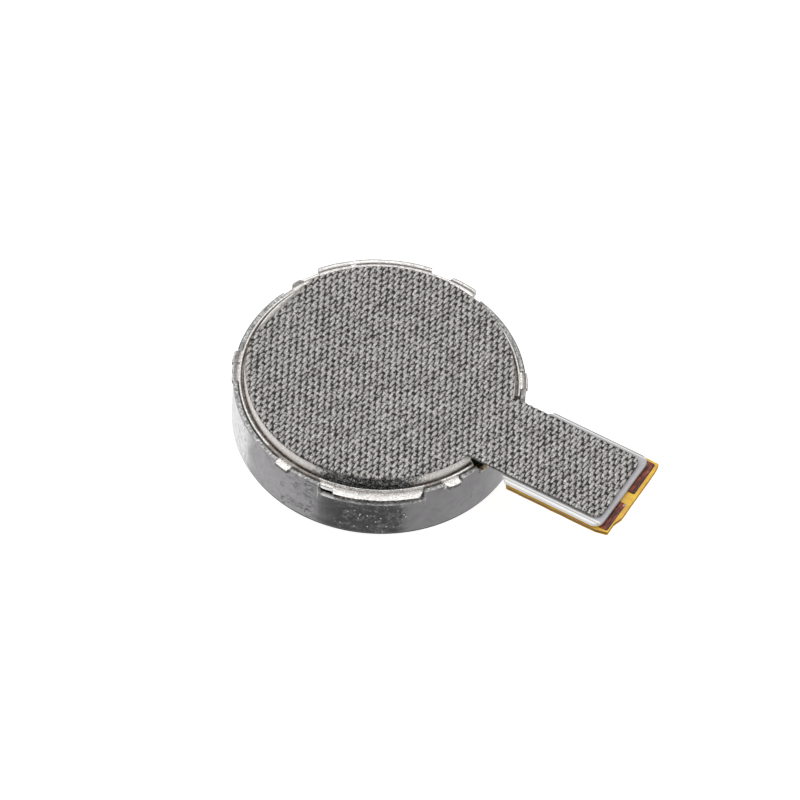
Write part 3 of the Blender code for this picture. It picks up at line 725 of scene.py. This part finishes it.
def enamelled_wire():
    g = Finish("enamelled copper wire", (0.60, 0.22, 0.07), 0.28, 0.7)
    tone = g.ramp(g.noise(3.5, 3.0), [(0.3, (0.42, 0.13, 0.035)), (0.7, (0.74, 0.32, 0.12))])
    g.set("Base Color", tone)
    g.set("Coat Weight", 0.6)
    return g.material


# ---------------------------------------------------------------- mesh tools


def add_piece(name, mesh, body, node, material, sharp):
    """Finish a mesh in the model's frame, riding on a body in place of a CAD node."""
    shape = bmesh.new()
    shape.from_mesh(mesh)
    bmesh.ops.recalc_face_normals(shape, faces=shape.faces)
    shape.to_mesh(mesh)
    shape.free()
    mesh.materials.clear()
    mesh.materials.append(material)
    mesh.shade_smooth()
    mesh.set_sharp_from_angle(angle=math.radians(sharp))
    obj = bpy.data.objects.new(name, mesh)
    bpy.context.scene.collection.objects.link(obj)
    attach(obj, body)
    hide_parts(node)


def piece(name, vertices, faces, body, node, slot, material, sharp=38.0, fields=None):
    """A piece from its points and faces, with a number at each point for each named field."""
    mesh = bpy.data.meshes.new(name)
    mesh.from_pydata([tuple(value * MM for value in point) for point in vertices], [], faces)
    for field, values in (fields or {}).items():
        stored = mesh.attributes.new(field, "FLOAT", "POINT")
        stored.data.foreach_set("value", np.array(values, np.float32))
    add_piece(name, mesh, body, node, material, sharp)


def flat_piece(name, outlines, bottom, top, bevel, node, slot, material):
    """A flat piece with rounded edges: the first outline filled, the others as holes."""
    curve = bpy.data.curves.new(name, "CURVE")
    curve.dimensions = "2D"
    curve.fill_mode = "BOTH"
    curve.extrude = ((top - bottom) / 2 - bevel) * MM
    curve.bevel_depth = bevel * MM
    curve.bevel_resolution = 2
    curve.offset = -bevel * MM
    for outline in outlines:
        spline = curve.splines.new("POLY")
        spline.points.add(len(outline) - 1)
        spline.use_cyclic_u = True
        for point, (x, y) in zip(spline.points, outline):
            point.co = (x * MM, y * MM, 0.0, 1.0)
    holder = bpy.data.objects.new(name, curve)
    bpy.context.scene.collection.objects.link(holder)
    bpy.context.view_layer.update()
    evaluated = holder.evaluated_get(bpy.context.evaluated_depsgraph_get())
    mesh = bpy.data.meshes.new_from_object(evaluated)
    bpy.data.objects.remove(holder)
    shape = bmesh.new()
    shape.from_mesh(mesh)
    bmesh.ops.remove_doubles(shape, verts=shape.verts, dist=0.0002 * MM)
    bmesh.ops.translate(shape, verts=shape.verts, vec=(0, 0, (top + bottom) / 2 * MM))
    shape.to_mesh(mesh)
    shape.free()
    add_piece(name, mesh, "housing", node, material, 40.0)


def polar(radius, degrees):
    turn = math.radians(degrees)
    return radius * math.cos(turn), radius * math.sin(turn)


def arc(radius, start, end, centre, count):
    """count points along an arc, with both its ends."""
    points = []
    for i in range(count):
        x, y = polar(radius, start + (end - start) * i / (count - 1))
        points.append((centre[0] + x, centre[1] + y))
    return points


def circle(radius, count=48):
    """A closed circle round the axis."""
    return arc(radius, 0.0, 360.0 - 360.0 / count, (0.0, 0.0), count)


def between(first, last, share):
    """The point at that share of the way from one flat point to another."""
    return first[0] + (last[0] - first[0]) * share, first[1] + (last[1] - first[1]) * share


def run(first, last, count):
    """count points along a straight line, with both its ends."""
    return [between(first, last, i / (count - 1)) for i in range(count)]


def rounded(corners, steps=8):
    """A closed outline through (x, y, corner radius) points."""
    outline = []
    befores = corners[-1:] + corners[:-1]
    afters = corners[1:] + corners[:1]
    for before, corner, after in zip(befores, corners, afters):
        here = Vector(corner[:2])
        if corner[2] == 0.0:
            outline.append(tuple(here))
            continue
        back = (Vector(before[:2]) - here).normalized()
        ahead = (Vector(after[:2]) - here).normalized()
        half = back.angle(ahead) / 2
        middle = here + (back + ahead).normalized() * corner[2] / math.sin(half)
        reach = corner[2] / math.tan(half)
        first = here + back * reach - middle
        last = here + ahead * reach - middle
        for i in range(steps + 1):
            spoke = first.slerp(last, i / steps).normalized() * corner[2]
            outline.append(tuple(middle + spoke))
    return outline


def subdivided(outline, step):
    """The same closed outline with a point at least every step."""
    dense = []
    for start, end in zip(outline, outline[1:] + outline[:1]):
        count = max(1, math.ceil(math.dist(start, end) / step))
        dense += run(start, end, count + 1)[:-1]
    return dense


def wavy(outline, size, per_mm, seed):
    """The outline with a small smooth irregularity, as a hand-cut or punched edge has."""
    moved = []
    for x, y in outline:
        dx = noise.noise((x * per_mm, y * per_mm, seed))
        dy = noise.noise((x * per_mm, y * per_mm, seed + 11.0))
        moved.append((x + size * dx, y + size * dy))
    return moved


def marked(points, cut_and_shade=0.0, grime_and_shade=0.0, wear_and_highlight=0.0):
    """Profile points with how sheared, how dirty and how worn the surface is there; the bracket also uses
    each of these for painted shade or a painted highlight.
    """
    return [(radius, height, cut_and_shade, grime_and_shade, wear_and_highlight) for radius, height in points]


def lofted(angles, profile_at):
    """A closed solid from one marked profile per angle, each from axis to axis, and its fields."""
    profiles = [profile_at(angle) for angle in angles]
    count = len(profiles[0]) - 2
    vertices = [(0.0, 0.0, profiles[0][0][1]), (0.0, 0.0, profiles[0][-1][1])]
    marks = [(0.0, 0.0, 0.0)] * 2
    for angle, profile in zip(angles, profiles):
        for radius, height, *mark in profile[1:-1]:
            vertices.append((*polar(radius, angle), height))
            marks.append(mark)
    faces = []
    for i in range(len(angles)):
        here = 2 + i * count
        there = 2 + (i + 1) % len(angles) * count
        faces.append((0, here, there))
        for j in range(count - 1):
            faces.append((here + j, here + j + 1, there + j + 1, there + j))
        faces.append((here + count - 1, 1, there + count - 1))
    return vertices, faces, dict(zip(("cut_and_shade", "grime_and_shade", "wear_and_highlight"), zip(*marks)))


def stepped_angles(stretches):
    """Angles a degree apart round the circle, with finer ones at both ends of each stretch."""
    angles = {-180.0 + i for i in range(360)}
    for start, end, *_ in stretches:
        for offset in (-0.4, -0.12, -0.04, 0.0, 0.04, 0.12, 0.3, 0.6, 1.0):
            angles |= {round(start + offset, 3), round(end - offset, 3)}
    ordered = sorted(angle for angle in angles if -180.0 <= angle < 180.0)
    kept = [ordered[0]]
    for angle in ordered[1:]:
        if angle - kept[-1] > 0.015:
            kept.append(angle)
    return kept


def wobble(radius, angle, height, per_mm, seed=0.0):
    """Smooth noise from -1 to 1 at a point on the can, the same on every run."""
    x, y = polar(radius, angle)
    return noise.noise(Vector((x, y, height + seed)) * per_mm)


# ---------------------------------------------------------------- can and bracket


def notch_floor(angle):
    """The height of the notch's floor at this angle, rounded up at its ends; None between notches."""
    for start, end, floor in NOTCHES:
        if start <= angle <= end:
            inset = math.radians(min(angle - start, end - angle)) * CAN_RADIUS
            corner = 0.25 * (CAN_TOP - floor)
            lack = max(0.0, 1.0 - inset / corner)
            return floor + corner * (1.0 - math.sqrt(1.0 - lack**2))
    return None


def burr(angle):
    """How bright the can's skin is beside the deep notch, from 0 to 1."""
    away = min(abs(angle - end) for end in DEEP_NOTCH[:2])
    return max(0.0, 1.0 - away / 0.45)


def can_profile(angle):
    """Up the outside from the base, over the rim and back down the inside to the bearing seat."""
    inner = CAN_RADIUS - CAN_WALL
    floor = notch_floor(angle)
    top = CAN_TOP - 0.012 if floor is None else floor
    top += 0.012 * wobble(CAN_RADIUS, angle, top, 2.2) + 0.006 * wobble(CAN_RADIUS, angle, top, 9.0)
    wall = [
        (radius + 0.006 * wobble(radius, angle, height, 0.8, 4.0) - 0.006, height)
        for radius, height in run((CAN_RADIUS, WALL_SPAN[0]), (CAN_RADIUS, WALL_SPAN[1]), 7)
    ]
    corner = arc(CAN_CORNER, -90.0, 0.0, (CAN_RADIUS - CAN_CORNER, CAN_CORNER), 7)
    shoulder = top - RIM_ROUNDING
    rim_out = arc(RIM_ROUNDING, 0.0, 90.0, (CAN_RADIUS - RIM_ROUNDING, shoulder), 5)
    rim_in = arc(RIM_ROUNDING, 90.0, 180.0, (inner + RIM_ROUNDING, shoulder), 4)
    edge = burr(angle)
    lip = 0.8 if floor is not None else 0.0
    return [
        *marked([(0.0, 0.0), (2.0, 0.0), (4.2, 0.0), *corner, *wall[:-1]]),
        *marked(wall[-1:], cut_and_shade=edge * 0.6),
        *marked([(CAN_RADIUS, shoulder - 0.012)], cut_and_shade=edge),
        *marked(rim_out[:2], cut_and_shade=max(edge, lip)),
        *marked(rim_out[2:4], cut_and_shade=max(edge, lip, 0.5)),
        *marked([*rim_out[4:], *rim_in[:2]], cut_and_shade=1.0),
        *marked(rim_in[2:], cut_and_shade=0.6),
        *marked(run((inner, WALL_SPAN[1]), (inner, 0.6), 4)),
        *marked(arc(0.12, 0.0, -90.0, (inner - 0.12, CAN_FLOOR + 0.12), 4)),
        *marked([(2.0, CAN_FLOOR), (SEAT_RADIUS + 0.02, CAN_FLOOR)]),
        *marked([(SEAT_RADIUS, CAN_FLOOR - 0.02), (SEAT_RADIUS, SEAT_FLOOR), (0.0, SEAT_FLOOR)]),
    ]


def make_can(material):
    vertices, faces, fields = lofted(stepped_angles(NOTCHES), can_profile)
    piece("steel_can", vertices, faces, "housing", "can_housing", "can_steel", material, fields=fields)


def ear_at(angle):
    """The widest ear here as (reach, crease, drop), its sides slanted in; None between ears."""
    root = BEAD_RADIUS + 0.04
    widest = None
    for start, end, reach, slants, crease, drop in EARS:
        if start <= angle < end:
            insets = (math.radians(angle - start) * reach, math.radians(end - angle) * reach)
            rough = 0.010 * (wobble(reach, angle, 0.0, 5.0, 9.0) - 1.0)
            full = reach + rough
            for inset, slant in zip(insets, slants):
                share = min(1.0, inset / slant)
                full = min(full, root + (reach + rough - root) * share**0.7)
            if widest is None or full > widest[0]:
                widest = (full, crease, drop)
    return widest


def ear_profile(reach, crease, drop, angle):
    """From the bead out along the ear's top, over its sheared end and back underneath."""
    step = 0.02 if reach < CAN_RADIUS - 0.02 else 0.0
    top = EAR_TOP - step + 0.008 * (wobble(reach, angle, 0.0, 3.0, 2.0) - 1.0)
    bottom = EAR_BOTTOM + step
    sink = 0.030
    width = 0.030 if crease < CAN_RADIUS else 0.045
    crease = min(crease, reach - 0.02 - width)
    back = 1.0 if crease > CAN_RADIUS else 0.0
    tilted = 0.7 if drop > 0.03 else 0.0
    # painted shade on the end face of an ear that reaches past the wall, and a painted highlight on that of
    # a lower ear
    torn_and_shaded = 0.0 if reach < CAN_RADIUS + 0.01 else 1.0

    def fall(radius):
        share = (radius - crease) / max(reach - crease, 0.02)
        return drop * max(0.0, share) ** 1.5

    inner = max(BEAD_RADIUS + 0.008, crease - width)
    outer = crease + width
    middle = (outer + reach) / 2
    rounding = min(0.045, (reach - outer) * 0.8)
    level = top - fall(reach - rounding)
    lower = bottom - drop
    groove = [(crease - width * 0.4, top - sink), (crease + width * 0.3, top - sink)]
    round_top = arc(rounding, 90.0, 0.0, (reach - rounding, level - rounding), 5)
    face = [*round_top[3:], (reach, lower + 0.035), (reach - 0.010, lower + 0.010)]
    # painted shade goes into the back ears' creases, onto tilted ear tops and onto the ears' sheared ends;
    # painted highlights go near the bead and along the front ears' rounded ends
    return [
        *marked([(BEAD_RADIUS + 0.002, min(top, BEAD_SIDE))], grime_and_shade=0.3),
        *marked([((BEAD_RADIUS + inner) / 2, top - 0.004)], wear_and_highlight=0.6),
        *marked([(inner, top - 0.006)], grime_and_shade=0.3),
        *marked(groove, cut_and_shade=back, grime_and_shade=0.5 - 0.5 * back),
        *marked([(outer, top - 0.004)], cut_and_shade=max(tilted, 0.3 * back), grime_and_shade=0.2 - 0.2 * back),
        *marked([(middle, top - fall(middle))], cut_and_shade=tilted),
        *marked([(reach - rounding - 0.01, level)], cut_and_shade=max(tilted, 0.2 * back), wear_and_highlight=0.3),
        *marked(round_top[:2], cut_and_shade=back, wear_and_highlight=0.5 - 0.5 * back),
        *marked(round_top[2:3], cut_and_shade=0.9),
        *marked(face, cut_and_shade=torn_and_shaded, wear_and_highlight=1.0 - torn_and_shaded),
        *marked([(reach - 0.035, lower)], cut_and_shade=1.0),
        *marked([(min(BEAD_RADIUS + 0.06, reach - 0.04), bottom - 0.01)], cut_and_shade=0.3, grime_and_shade=0.5),
        *marked([(BEAD_RADIUS + 0.01, bottom - 0.03), (BEAD_RADIUS, bottom - 0.06)], grime_and_shade=1.0),
    ]


def bracket_profile(angle):
    """From the plateau's centre out over the groove, the bead and an ear, and back underneath."""
    inner = PLATEAU_RADIUS - SHEET
    bead = (BEAD_RADIUS - GROOVE_OUTER) / 2
    dull = 1.0 if any(start <= angle <= end for start, end in DULL_BEAD) else 0.0
    shoulder = arc(SHOULDER, 90.0, 0.0, (PLATEAU_RADIUS - SHOULDER, PLATE_TOP - SHOULDER), 9)
    plateau = marked([(0.0, PLATE_TOP), (2.2, PLATE_TOP), (3.6, PLATE_TOP), *shoulder])
    wall = PLATEAU_RADIUS + 0.006
    bead_arc = arc(bead, 180.0, 20.0, (GROOVE_OUTER + bead, BEAD_TOP - bead), 6)
    # painted shade: the groove between the plateau and the bead is darkened with brown grime
    rim = [
        *marked([(wall, 2.31)], grime_and_shade=0.0),
        *marked([(wall, 2.26)], grime_and_shade=0.5),
        *marked([(wall, 2.21)], grime_and_shade=1.0),
        *marked(arc(0.03, 180.0, 270.0, (wall + 0.03, GROOVE_FLOOR + 0.03), 4), grime_and_shade=1.0),
        *marked(arc(0.03, 270.0, 360.0, (GROOVE_OUTER - 0.03, GROOVE_FLOOR + 0.03), 4), grime_and_shade=1.0),
        *marked([(GROOVE_OUTER, 2.235)], grime_and_shade=0.6),
        # painted highlight: the bead is painted bright as worn, except along the dull stretches
        *marked(bead_arc, grime_and_shade=0.8 * dull, wear_and_highlight=1.0 - 0.8 * dull),
    ]
    ear = ear_at(angle)
    if ear is None:
        plain = run((BEAD_RADIUS, BEAD_SIDE), (BEAD_RADIUS, 2.06), EDGE_POINTS)
        outer = marked(plain, grime_and_shade=0.25 + 0.5 * dull)
    else:
        outer = ear_profile(*ear, angle)
    under = marked(
        [
            *arc(0.05, 0.0, -90.0, (BEAD_RADIUS - 0.05, BRACKET_BOTTOM + 0.05), 3),
            *arc(0.05, -90.0, -180.0, (inner + 0.05, BRACKET_BOTTOM + 0.05), 3),
            (inner, 2.2),
            *arc(0.06, 0.0, 90.0, (inner - 0.06, PLATE_BOTTOM - 0.06), 3),
            (3.0, PLATE_BOTTOM),
            (0.0, PLATE_BOTTOM),
        ]
    )
    if EXIT[0] <= angle <= EXIT[1]:
        count = len(rim) + len(outer) + len(under) - 4
        lip = PLATE_BOTTOM + 0.004
        edge = marked(run((PLATEAU_RADIUS, 2.44), (PLATEAU_RADIUS - 0.02, lip), count), cut_and_shade=0.9)
        tuck = marked([(3.9, lip), (3.8, PLATE_BOTTOM)])
        plateau[-2:] = marked([(PLATEAU_RADIUS - 0.01, 2.46), (PLATEAU_RADIUS, 2.45)])
        return [*plateau, *edge, *tuck, *under[-2:]]
    return [*plateau, *rim, *outer, *under]


def make_bracket(material):
    vertices, faces, fields = lofted(stepped_angles([*EARS, EXIT]), bracket_profile)
    names = ("housing", "end_bracket", "bracket_steel")
    piece("pressed_bracket", vertices, faces, *names, material, fields=fields)


# ---------------------------------------------------------------- tape


def tape_outline():
    """The disc with its flat cut, and the tongue along the tail, as a closed list of points."""
    first = math.degrees(math.asin(TAPE_LEFT / TAPE_RADIUS))
    last = 360.0 + math.degrees(math.asin(TAPE_RIGHT / TAPE_RADIUS))
    disc = arc(TAPE_RADIUS, first, TAPE_FLAT[0], (0.0, 0.0), 140)
    disc += arc(TAPE_RADIUS, TAPE_FLAT[1], last, (0.0, 0.0), 140)
    low_corner = (TAPE_END - TAPE_CORNER, TAPE_RIGHT + TAPE_CORNER)
    high_corner = (TAPE_END - TAPE_CORNER, TAPE_LEFT - TAPE_CORNER)
    tongue = arc(TAPE_CORNER, -90.0, 0.0, low_corner, 10)
    tongue += arc(TAPE_CORNER, 0.0, 90.0, high_corner, 10)
    return disc + tongue


def outline_distance(points, outline):
    """Signed distance of each point to a closed outline, positive inside, and its nearest point."""
    start = np.array(outline)
    end = np.roll(start, -1, axis=0)
    along = end - start
    length = (along**2).sum(1)
    best = np.full(len(points), np.inf)
    nearest = np.zeros_like(points)
    inside = np.zeros(len(points), bool)
    for a, b, d, l2 in zip(start, end, along, length):
        share = np.clip(((points - a) @ d) / l2, 0.0, 1.0)
        foot = a + share[:, None] * d
        gap = ((points - foot) ** 2).sum(1)
        closer = gap < best
        best[closer] = gap[closer]
        nearest[closer] = foot[closer]
        crosses = (a[1] > points[:, 1]) != (b[1] > points[:, 1])
        if abs(d[1]) > 1e-12:
            at = a[0] + (points[:, 1] - a[1]) / d[1] * d[0]
            inside ^= crosses & (points[:, 0] < at)
    return np.where(inside, 1.0, -1.0) * np.sqrt(best), nearest


def smooth_field(points, per_mm, seed):
    """Noise from -1 to 1 at flat points."""
    return np.array([noise.noise((x * per_mm, y * per_mm, seed)) for x, y in points.tolist()])


def weave(points):
    """Each point's place among the yarns, in pitches along X and Y, and the cloth's height from 0 to 1."""
    sway = 0.020 * smooth_field(points, 2.5, 1.0) + 0.012 * smooth_field(points, 9.0, 2.0)
    slip = 0.025 * smooth_field(points, 2.0, 5.0)
    across = (points[:, 0] + sway) / WARP_PITCH
    along = (points[:, 1] + slip) / WEFT_PITCH
    column = np.round(across)
    end = (along - column % 2 + 1.0) % 2.0 - 1.0
    crown = 1.0 - (np.abs(across - column) / 0.56) ** 2 - (end / 0.80) ** 2
    crown = np.sqrt(np.clip(crown, 0.0, 1.0))
    weft = np.sqrt(np.clip(1.0 - ((along - np.round(along)) / 0.5) ** 2, 0.0, 1.0))
    return across, along, np.maximum(crown, 0.22 * weft)


def yarn_grid(outline):
    """A grid in step with the yarns inside an outline, its quads, and its distance to the outline."""
    step_x, step_y = WARP_PITCH / 4.0, WEFT_PITCH / 8.0
    reach = TAPE_RADIUS + 0.1
    xs = np.arange(-round(reach / step_x), round(TAPE_END / step_x) + 4) * step_x
    ys = np.arange(-round(reach / step_y), round(reach / step_y) + 1) * step_y
    grid_x, grid_y = np.meshgrid(xs, ys, indexing="ij")
    points = np.stack([grid_x.ravel(), grid_y.ravel()], axis=1)
    depth, nearest = outline_distance(points, outline)
    inside = (depth > 0.3 * step_x).reshape(grid_x.shape)
    full = inside[:-1, :-1] & inside[1:, :-1] & inside[1:, 1:] & inside[:-1, 1:]
    number = np.arange(len(points)).reshape(grid_x.shape)
    corners = (number[:-1, :-1], number[1:, :-1], number[1:, 1:], number[:-1, 1:])
    quads = np.stack([corner[full] for corner in corners], axis=1)
    used = np.unique(quads)
    fresh = np.full(len(points), -1)
    fresh[used] = np.arange(len(used))
    return points[used], fresh[quads].tolist(), depth[used], nearest[used]


def border_of(quads):
    """The edges that only one quad has, as (start, end) in the quads' own direction."""
    sides = {(a, b) for quad in quads for a, b in zip(quad, quad[1:] + quad[:1])}
    return sorted(edge for edge in sides if (edge[1], edge[0]) not in sides)


def make_tape(material):
    """The yarns' grid drawn out to the outline with a slight fray, raised, and closed underneath."""
    points, faces, depth, nearest = yarn_grid(tape_outline())
    border = border_of(faces)
    rim = [start for start, _ in border]
    inward = points[rim] - nearest[rim]
    inward /= np.maximum(np.linalg.norm(inward, axis=1), 1e-9)[:, None]
    fray = 0.5 + 0.5 * smooth_field(points[rim], 22.0, 3.0)
    points[rim] = nearest[rim] + inward * (0.030 * fray)[:, None]
    across, along, lift = weave(points)
    near_edge = np.clip(depth / 0.08, 0.0, 1.0)
    # how strongly the painted shadow along the tape's edge darkens each point
    outline_share = 1.0 - np.clip((depth - 0.012) / 0.030, 0.0, 1.0)
    ripple = 0.004 + 0.004 * smooth_field(points, 0.9, 7.0)
    relief = 0.045 * (1.0 - lift) + 0.010 * (1.0 - near_edge)
    height = TAPE_TOP - ripple - relief
    vertices = [(*place, level) for place, level in zip(points.tolist(), height.tolist())]
    below = {}
    for index in rim:
        below[index] = len(vertices)
        vertices.append((*points[index].tolist(), TAPE_BOTTOM))
    follow = dict(border)
    faces += [(end, start, below[start], below[end]) for start, end in border]
    loop = [rim[0]]
    while follow[loop[-1]] != rim[0]:
        loop.append(follow[loop[-1]])
    faces.append([below[index] for index in reversed(loop)])
    values = {"warp_turns": across, "weft_turns": along, "edge": outline_share}
    fields = {name: [*value, *value[rim]] for name, value in values.items()}
    names = ("housing", "cloth_tape", "woven_cloth")
    piece("woven_tape", vertices, faces, *names, material, sharp=60.0, fields=fields)


# ---------------------------------------------------------------- tail


def film_outline():
    """The disc under the plateau, the neck and the wide tail with its slightly skewed end."""
    meeting = math.degrees(math.asin(NECK / FLEX_DISC))
    disc = arc(FLEX_DISC, meeting, 360.0 - meeting, (0.0, 0.0), 90)
    corners = [
        (STIFF_LOW.x, -NECK, 0.0),
        (TAIL_START, TAIL_RIGHT, 0.05),
        (FILM_END - 0.52, TAIL_RIGHT, 0.0),
        (FILM_END - TIP_RELIEF, TAIL_RIGHT + 0.11, 0.05),
        (FILM_END - TIP_RELIEF, TAIL_RIGHT + 0.57, 0.0),
        (FILM_END, TAIL_RIGHT + 0.89, 0.10),
        (FILM_END, TAIL_LEFT - 0.40, 0.0),
        (FILM_END - 0.03, TAIL_LEFT, 0.06),
        (TAIL_START, TAIL_LEFT, 0.10),
        (STIFF_LOW.x, NECK, 0.0),
    ]
    return disc + wavy(subdivided(rounded(corners), 0.12), 0.012, 2.4, 3.0)


def board_outline():
    """The stiffener: chamfered at the neck, round at the tip, and a little skewed there."""
    start, end = STIFF_LOW.x, STIFF_HIGH.x
    right, left = STIFF_LOW.y, STIFF_HIGH.y
    corners = [
        (start, right + STIFF_CHAMFER, 0.04),
        (start + STIFF_CHAMFER, right, 0.05),
        (end - STIFF_SKEW, right, 0.35),
        (end, left, 0.28),
        (start + STIFF_CHAMFER, left, 0.05),
        (start, left - STIFF_CHAMFER, 0.04),
    ]
    return wavy(subdivided(rounded(corners), 0.15), 0.006, 2.0, 8.0)


def land_outline(pole, margin=0.0):
    """The box of one contact land, with small round corners and a margin all round."""
    node = f"contact_pad_{pole}"
    x0, y0 = low(node).xy
    x1, y1 = high(node).xy
    corners = [
        (x0 - margin, y0 - margin, 0.06),
        (x1 + margin, y0 - margin, 0.06),
        (x1 + margin, y1 + margin, 0.06),
        (x0 - margin, y1 + margin, 0.06),
    ]
    return rounded(corners, steps=3)


def make_tail(finish):
    windows = [land_outline(pole, 0.01) for pole in POLES]
    film = film_outline()
    names = ("flex_base_film", "polyimide", finish["polyimide"])
    outlines = [film, circle(FLEX_WINDOW), *windows]
    flat_piece("amber_film", outlines, FILM_BOTTOM, FILM_TOP, 0.010, *names)
    names = ("flex_coverlay", "polyimide", finish["polyimide"])
    outlines = [film, circle(COVER_WINDOW), *windows]
    flat_piece("film_coverlay", outlines, COVER_BOTTOM, COVER_TOP, 0.006, *names)
    names = ("stiffener", "stiffener_board", finish["stiffener"])
    flat_piece("stiffener_plate", [board_outline()], STIFF_LOW.z, STIFF_HIGH.z, 0.022, *names)
    for pole in POLES:
        outline = wavy(subdivided(land_outline(pole), 0.08), 0.004, 6.0, 2.0)
        names = (f"contact_pad_{pole}", "contact_land", finish["land"])
        flat_piece(f"land_{pole}", [outline], COVER_BOTTOM, FILM_TOP, 0.015, *names)


# ---------------------------------------------------------------- coils


def coil_path(middle, inset, count=72):
    """Points evenly along a rounded sector, inset from the coil's outer edge."""
    half = COIL_HALF_ANGLE - math.degrees(inset / ((COIL_INNER + COIL_OUTER) / 2))
    radius = max(0.16, 0.30 - inset * 0.3)
    corners = []
    for reach, way in ((COIL_OUTER - inset, 1.0), (COIL_INNER + inset, -1.0)):
        for share in (-1.0, -0.5, 0.0, 0.5, 1.0):
            x, y = polar(reach, middle + way * share * half)
            corners.append((x, y, radius if abs(share) == 1.0 else 0.0))
    outline = rounded(corners, 5)
    lengths = [math.dist(a, b) for a, b in zip(outline, outline[1:] + outline[:1])]
    total = sum(lengths)
    points = []
    index, passed = 0, 0.0
    for i in range(count):
        target = total * i / count
        while passed + lengths[index] < target:
            passed += lengths[index]
            index += 1
        ahead = outline[(index + 1) % len(outline)]
        points.append(between(outline[index], ahead, (target - passed) / lengths[index]))
    return points


def coil_section():
    """The winding's four scalloped sides, as (share of the way inwards, height) points."""
    points = []
    across = (COIL_TURNS, COIL_WINDING / COIL_TURNS)
    down = (COIL_LAYERS, (COIL_TOP - COIL_BOTTOM) / COIL_LAYERS)
    for side, (wires, wire) in enumerate((across, down, across, down)):
        for i in range(2 * wires):
            along = i / 2 * wire
            sink = WIRE_GROOVE if i % 2 == 0 else 0.0
            places = (
                (along / COIL_WINDING, COIL_TOP - sink),
                (1.0 - sink / COIL_WINDING, COIL_TOP - along),
                (1.0 - along / COIL_WINDING, COIL_BOTTOM + sink),
                (sink / COIL_WINDING, COIL_BOTTOM + along),
            )
            points.append(places[side])
    return points


def make_coil(number, middle, material):
    """A winding whose skin shows its turns: a scalloped section swept round the racetrack."""
    section = coil_section()
    outer = coil_path(middle, WIRE_GAP)
    inner = coil_path(middle, COIL_WINDING - WIRE_GAP)
    vertices, faces = [], []
    for start, end in zip(outer, inner):
        vertices += [(*between(start, end, share), height) for share, height in section]
    count = len(section)
    for i in range(len(outer)):
        here, there = i * count, (i + 1) % len(outer) * count
        for j in range(count):
            k = (j + 1) % count
            faces.append((here + j, here + k, there + k, there + j))
    names = ("rotor", f"coil_{number}", "enamelled_wire")
    piece(f"winding_{number}", vertices, faces, *names, material, sharp=50.0)


# ---------------------------------------------------------------- finishes


def make_finishes():
    return {
        "can": can_steel(),
        "bracket": bracket_steel(),
        "cloth": conductive_cloth(),
        "stiffener": stiffener_board(),
        "polyimide": polyimide(),
        "land": contact_land(),
        "wire": enamelled_wire(),
        "sintered": sintered_bronze(),
        "laminate": rotor_laminate(),
        "adhesive": grained("acrylic adhesive", (0.28, 0.27, 0.25), (0.42, 0.41, 0.38), 0.45, 0.0, 6.0),
        "copper": grained("copper foil", (0.55, 0.25, 0.13), (0.76, 0.42, 0.26), 0.32, 1.0, 10.0),
        "magnet": grained("nickel plated magnet", (0.20, 0.20, 0.21), (0.34, 0.34, 0.35), 0.36, 1.0, 5.0),
        "shaft": turned_metal("ground shaft steel", (0.50, 0.50, 0.52), (0.66, 0.66, 0.68), 0.2),
        "brass": turned_metal("turned brass", (0.60, 0.44, 0.18), (0.80, 0.62, 0.30), 0.28),
        "nylon": grained("washer nylon", (0.66, 0.64, 0.58), (0.80, 0.79, 0.74), 0.5, 0.0, 12.0),
        "bronze": grained("spring bronze", (0.52, 0.34, 0.17), (0.72, 0.50, 0.28), 0.3, 1.0, 14.0, 0.002),
        "solder": grained("solder", (0.42, 0.42, 0.43), (0.72, 0.72, 0.74), 0.28, 1.0, 20.0),
        "gold": grained("gold plating", (0.66, 0.46, 0.16), (0.90, 0.70, 0.34), 0.22, 1.0, 16.0, 0.002),
        "tungsten": grained("tungsten alloy", (0.22, 0.22, 0.23), (0.40, 0.40, 0.41), 0.48, 1.0, 20.0, 0.01),
        "resin": grained("moulding resin", (0.02, 0.02, 0.022), (0.05, 0.05, 0.055), 0.55, 0.0, 18.0, 0.008),
    }


def dress_nodes(finish):
    """Better materials on the CAD nodes that keep their own meshes."""
    wanted = {
        "adhesive": ("tape_adhesive", "stiffener_adhesive", "magnet_adhesive"),
        "copper": ("trace_positive", "trace_negative"),
        "magnet": ("ring_magnet",),
        "shaft": ("shaft",),
        "brass": ("shaft_collar",),
        "nylon": ("upper_thrust_washer", "lower_thrust_washer"),
        "bronze": ("brush_positive", "brush_negative"),
        "solder": ("brush_solder_positive", "brush_solder_negative"),
        "sintered": ("sleeve_bearing",),
        "laminate": ("rotor_board",),
        "tungsten": ("counterweight",),
        "resin": ("rotor_moulding",),
        "gold": [node for node in NODES if node.startswith("commutator_segment")],
    }
    for name, nodes in wanted.items():
        for node in nodes:
            for slot in NODES[node].material_slots:
                slot.material = finish[name]


make_camera()
make_stage()
finishes = make_finishes()
make_can(finishes["can"])
make_bracket(finishes["bracket"])
make_tape(finishes["cloth"])
make_tail(finishes)
for coil_number, coil_angle in enumerate(COIL_ANGLES, 1):
    make_coil(coil_number, coil_angle, finishes["wire"])
dress_nodes(finishes)
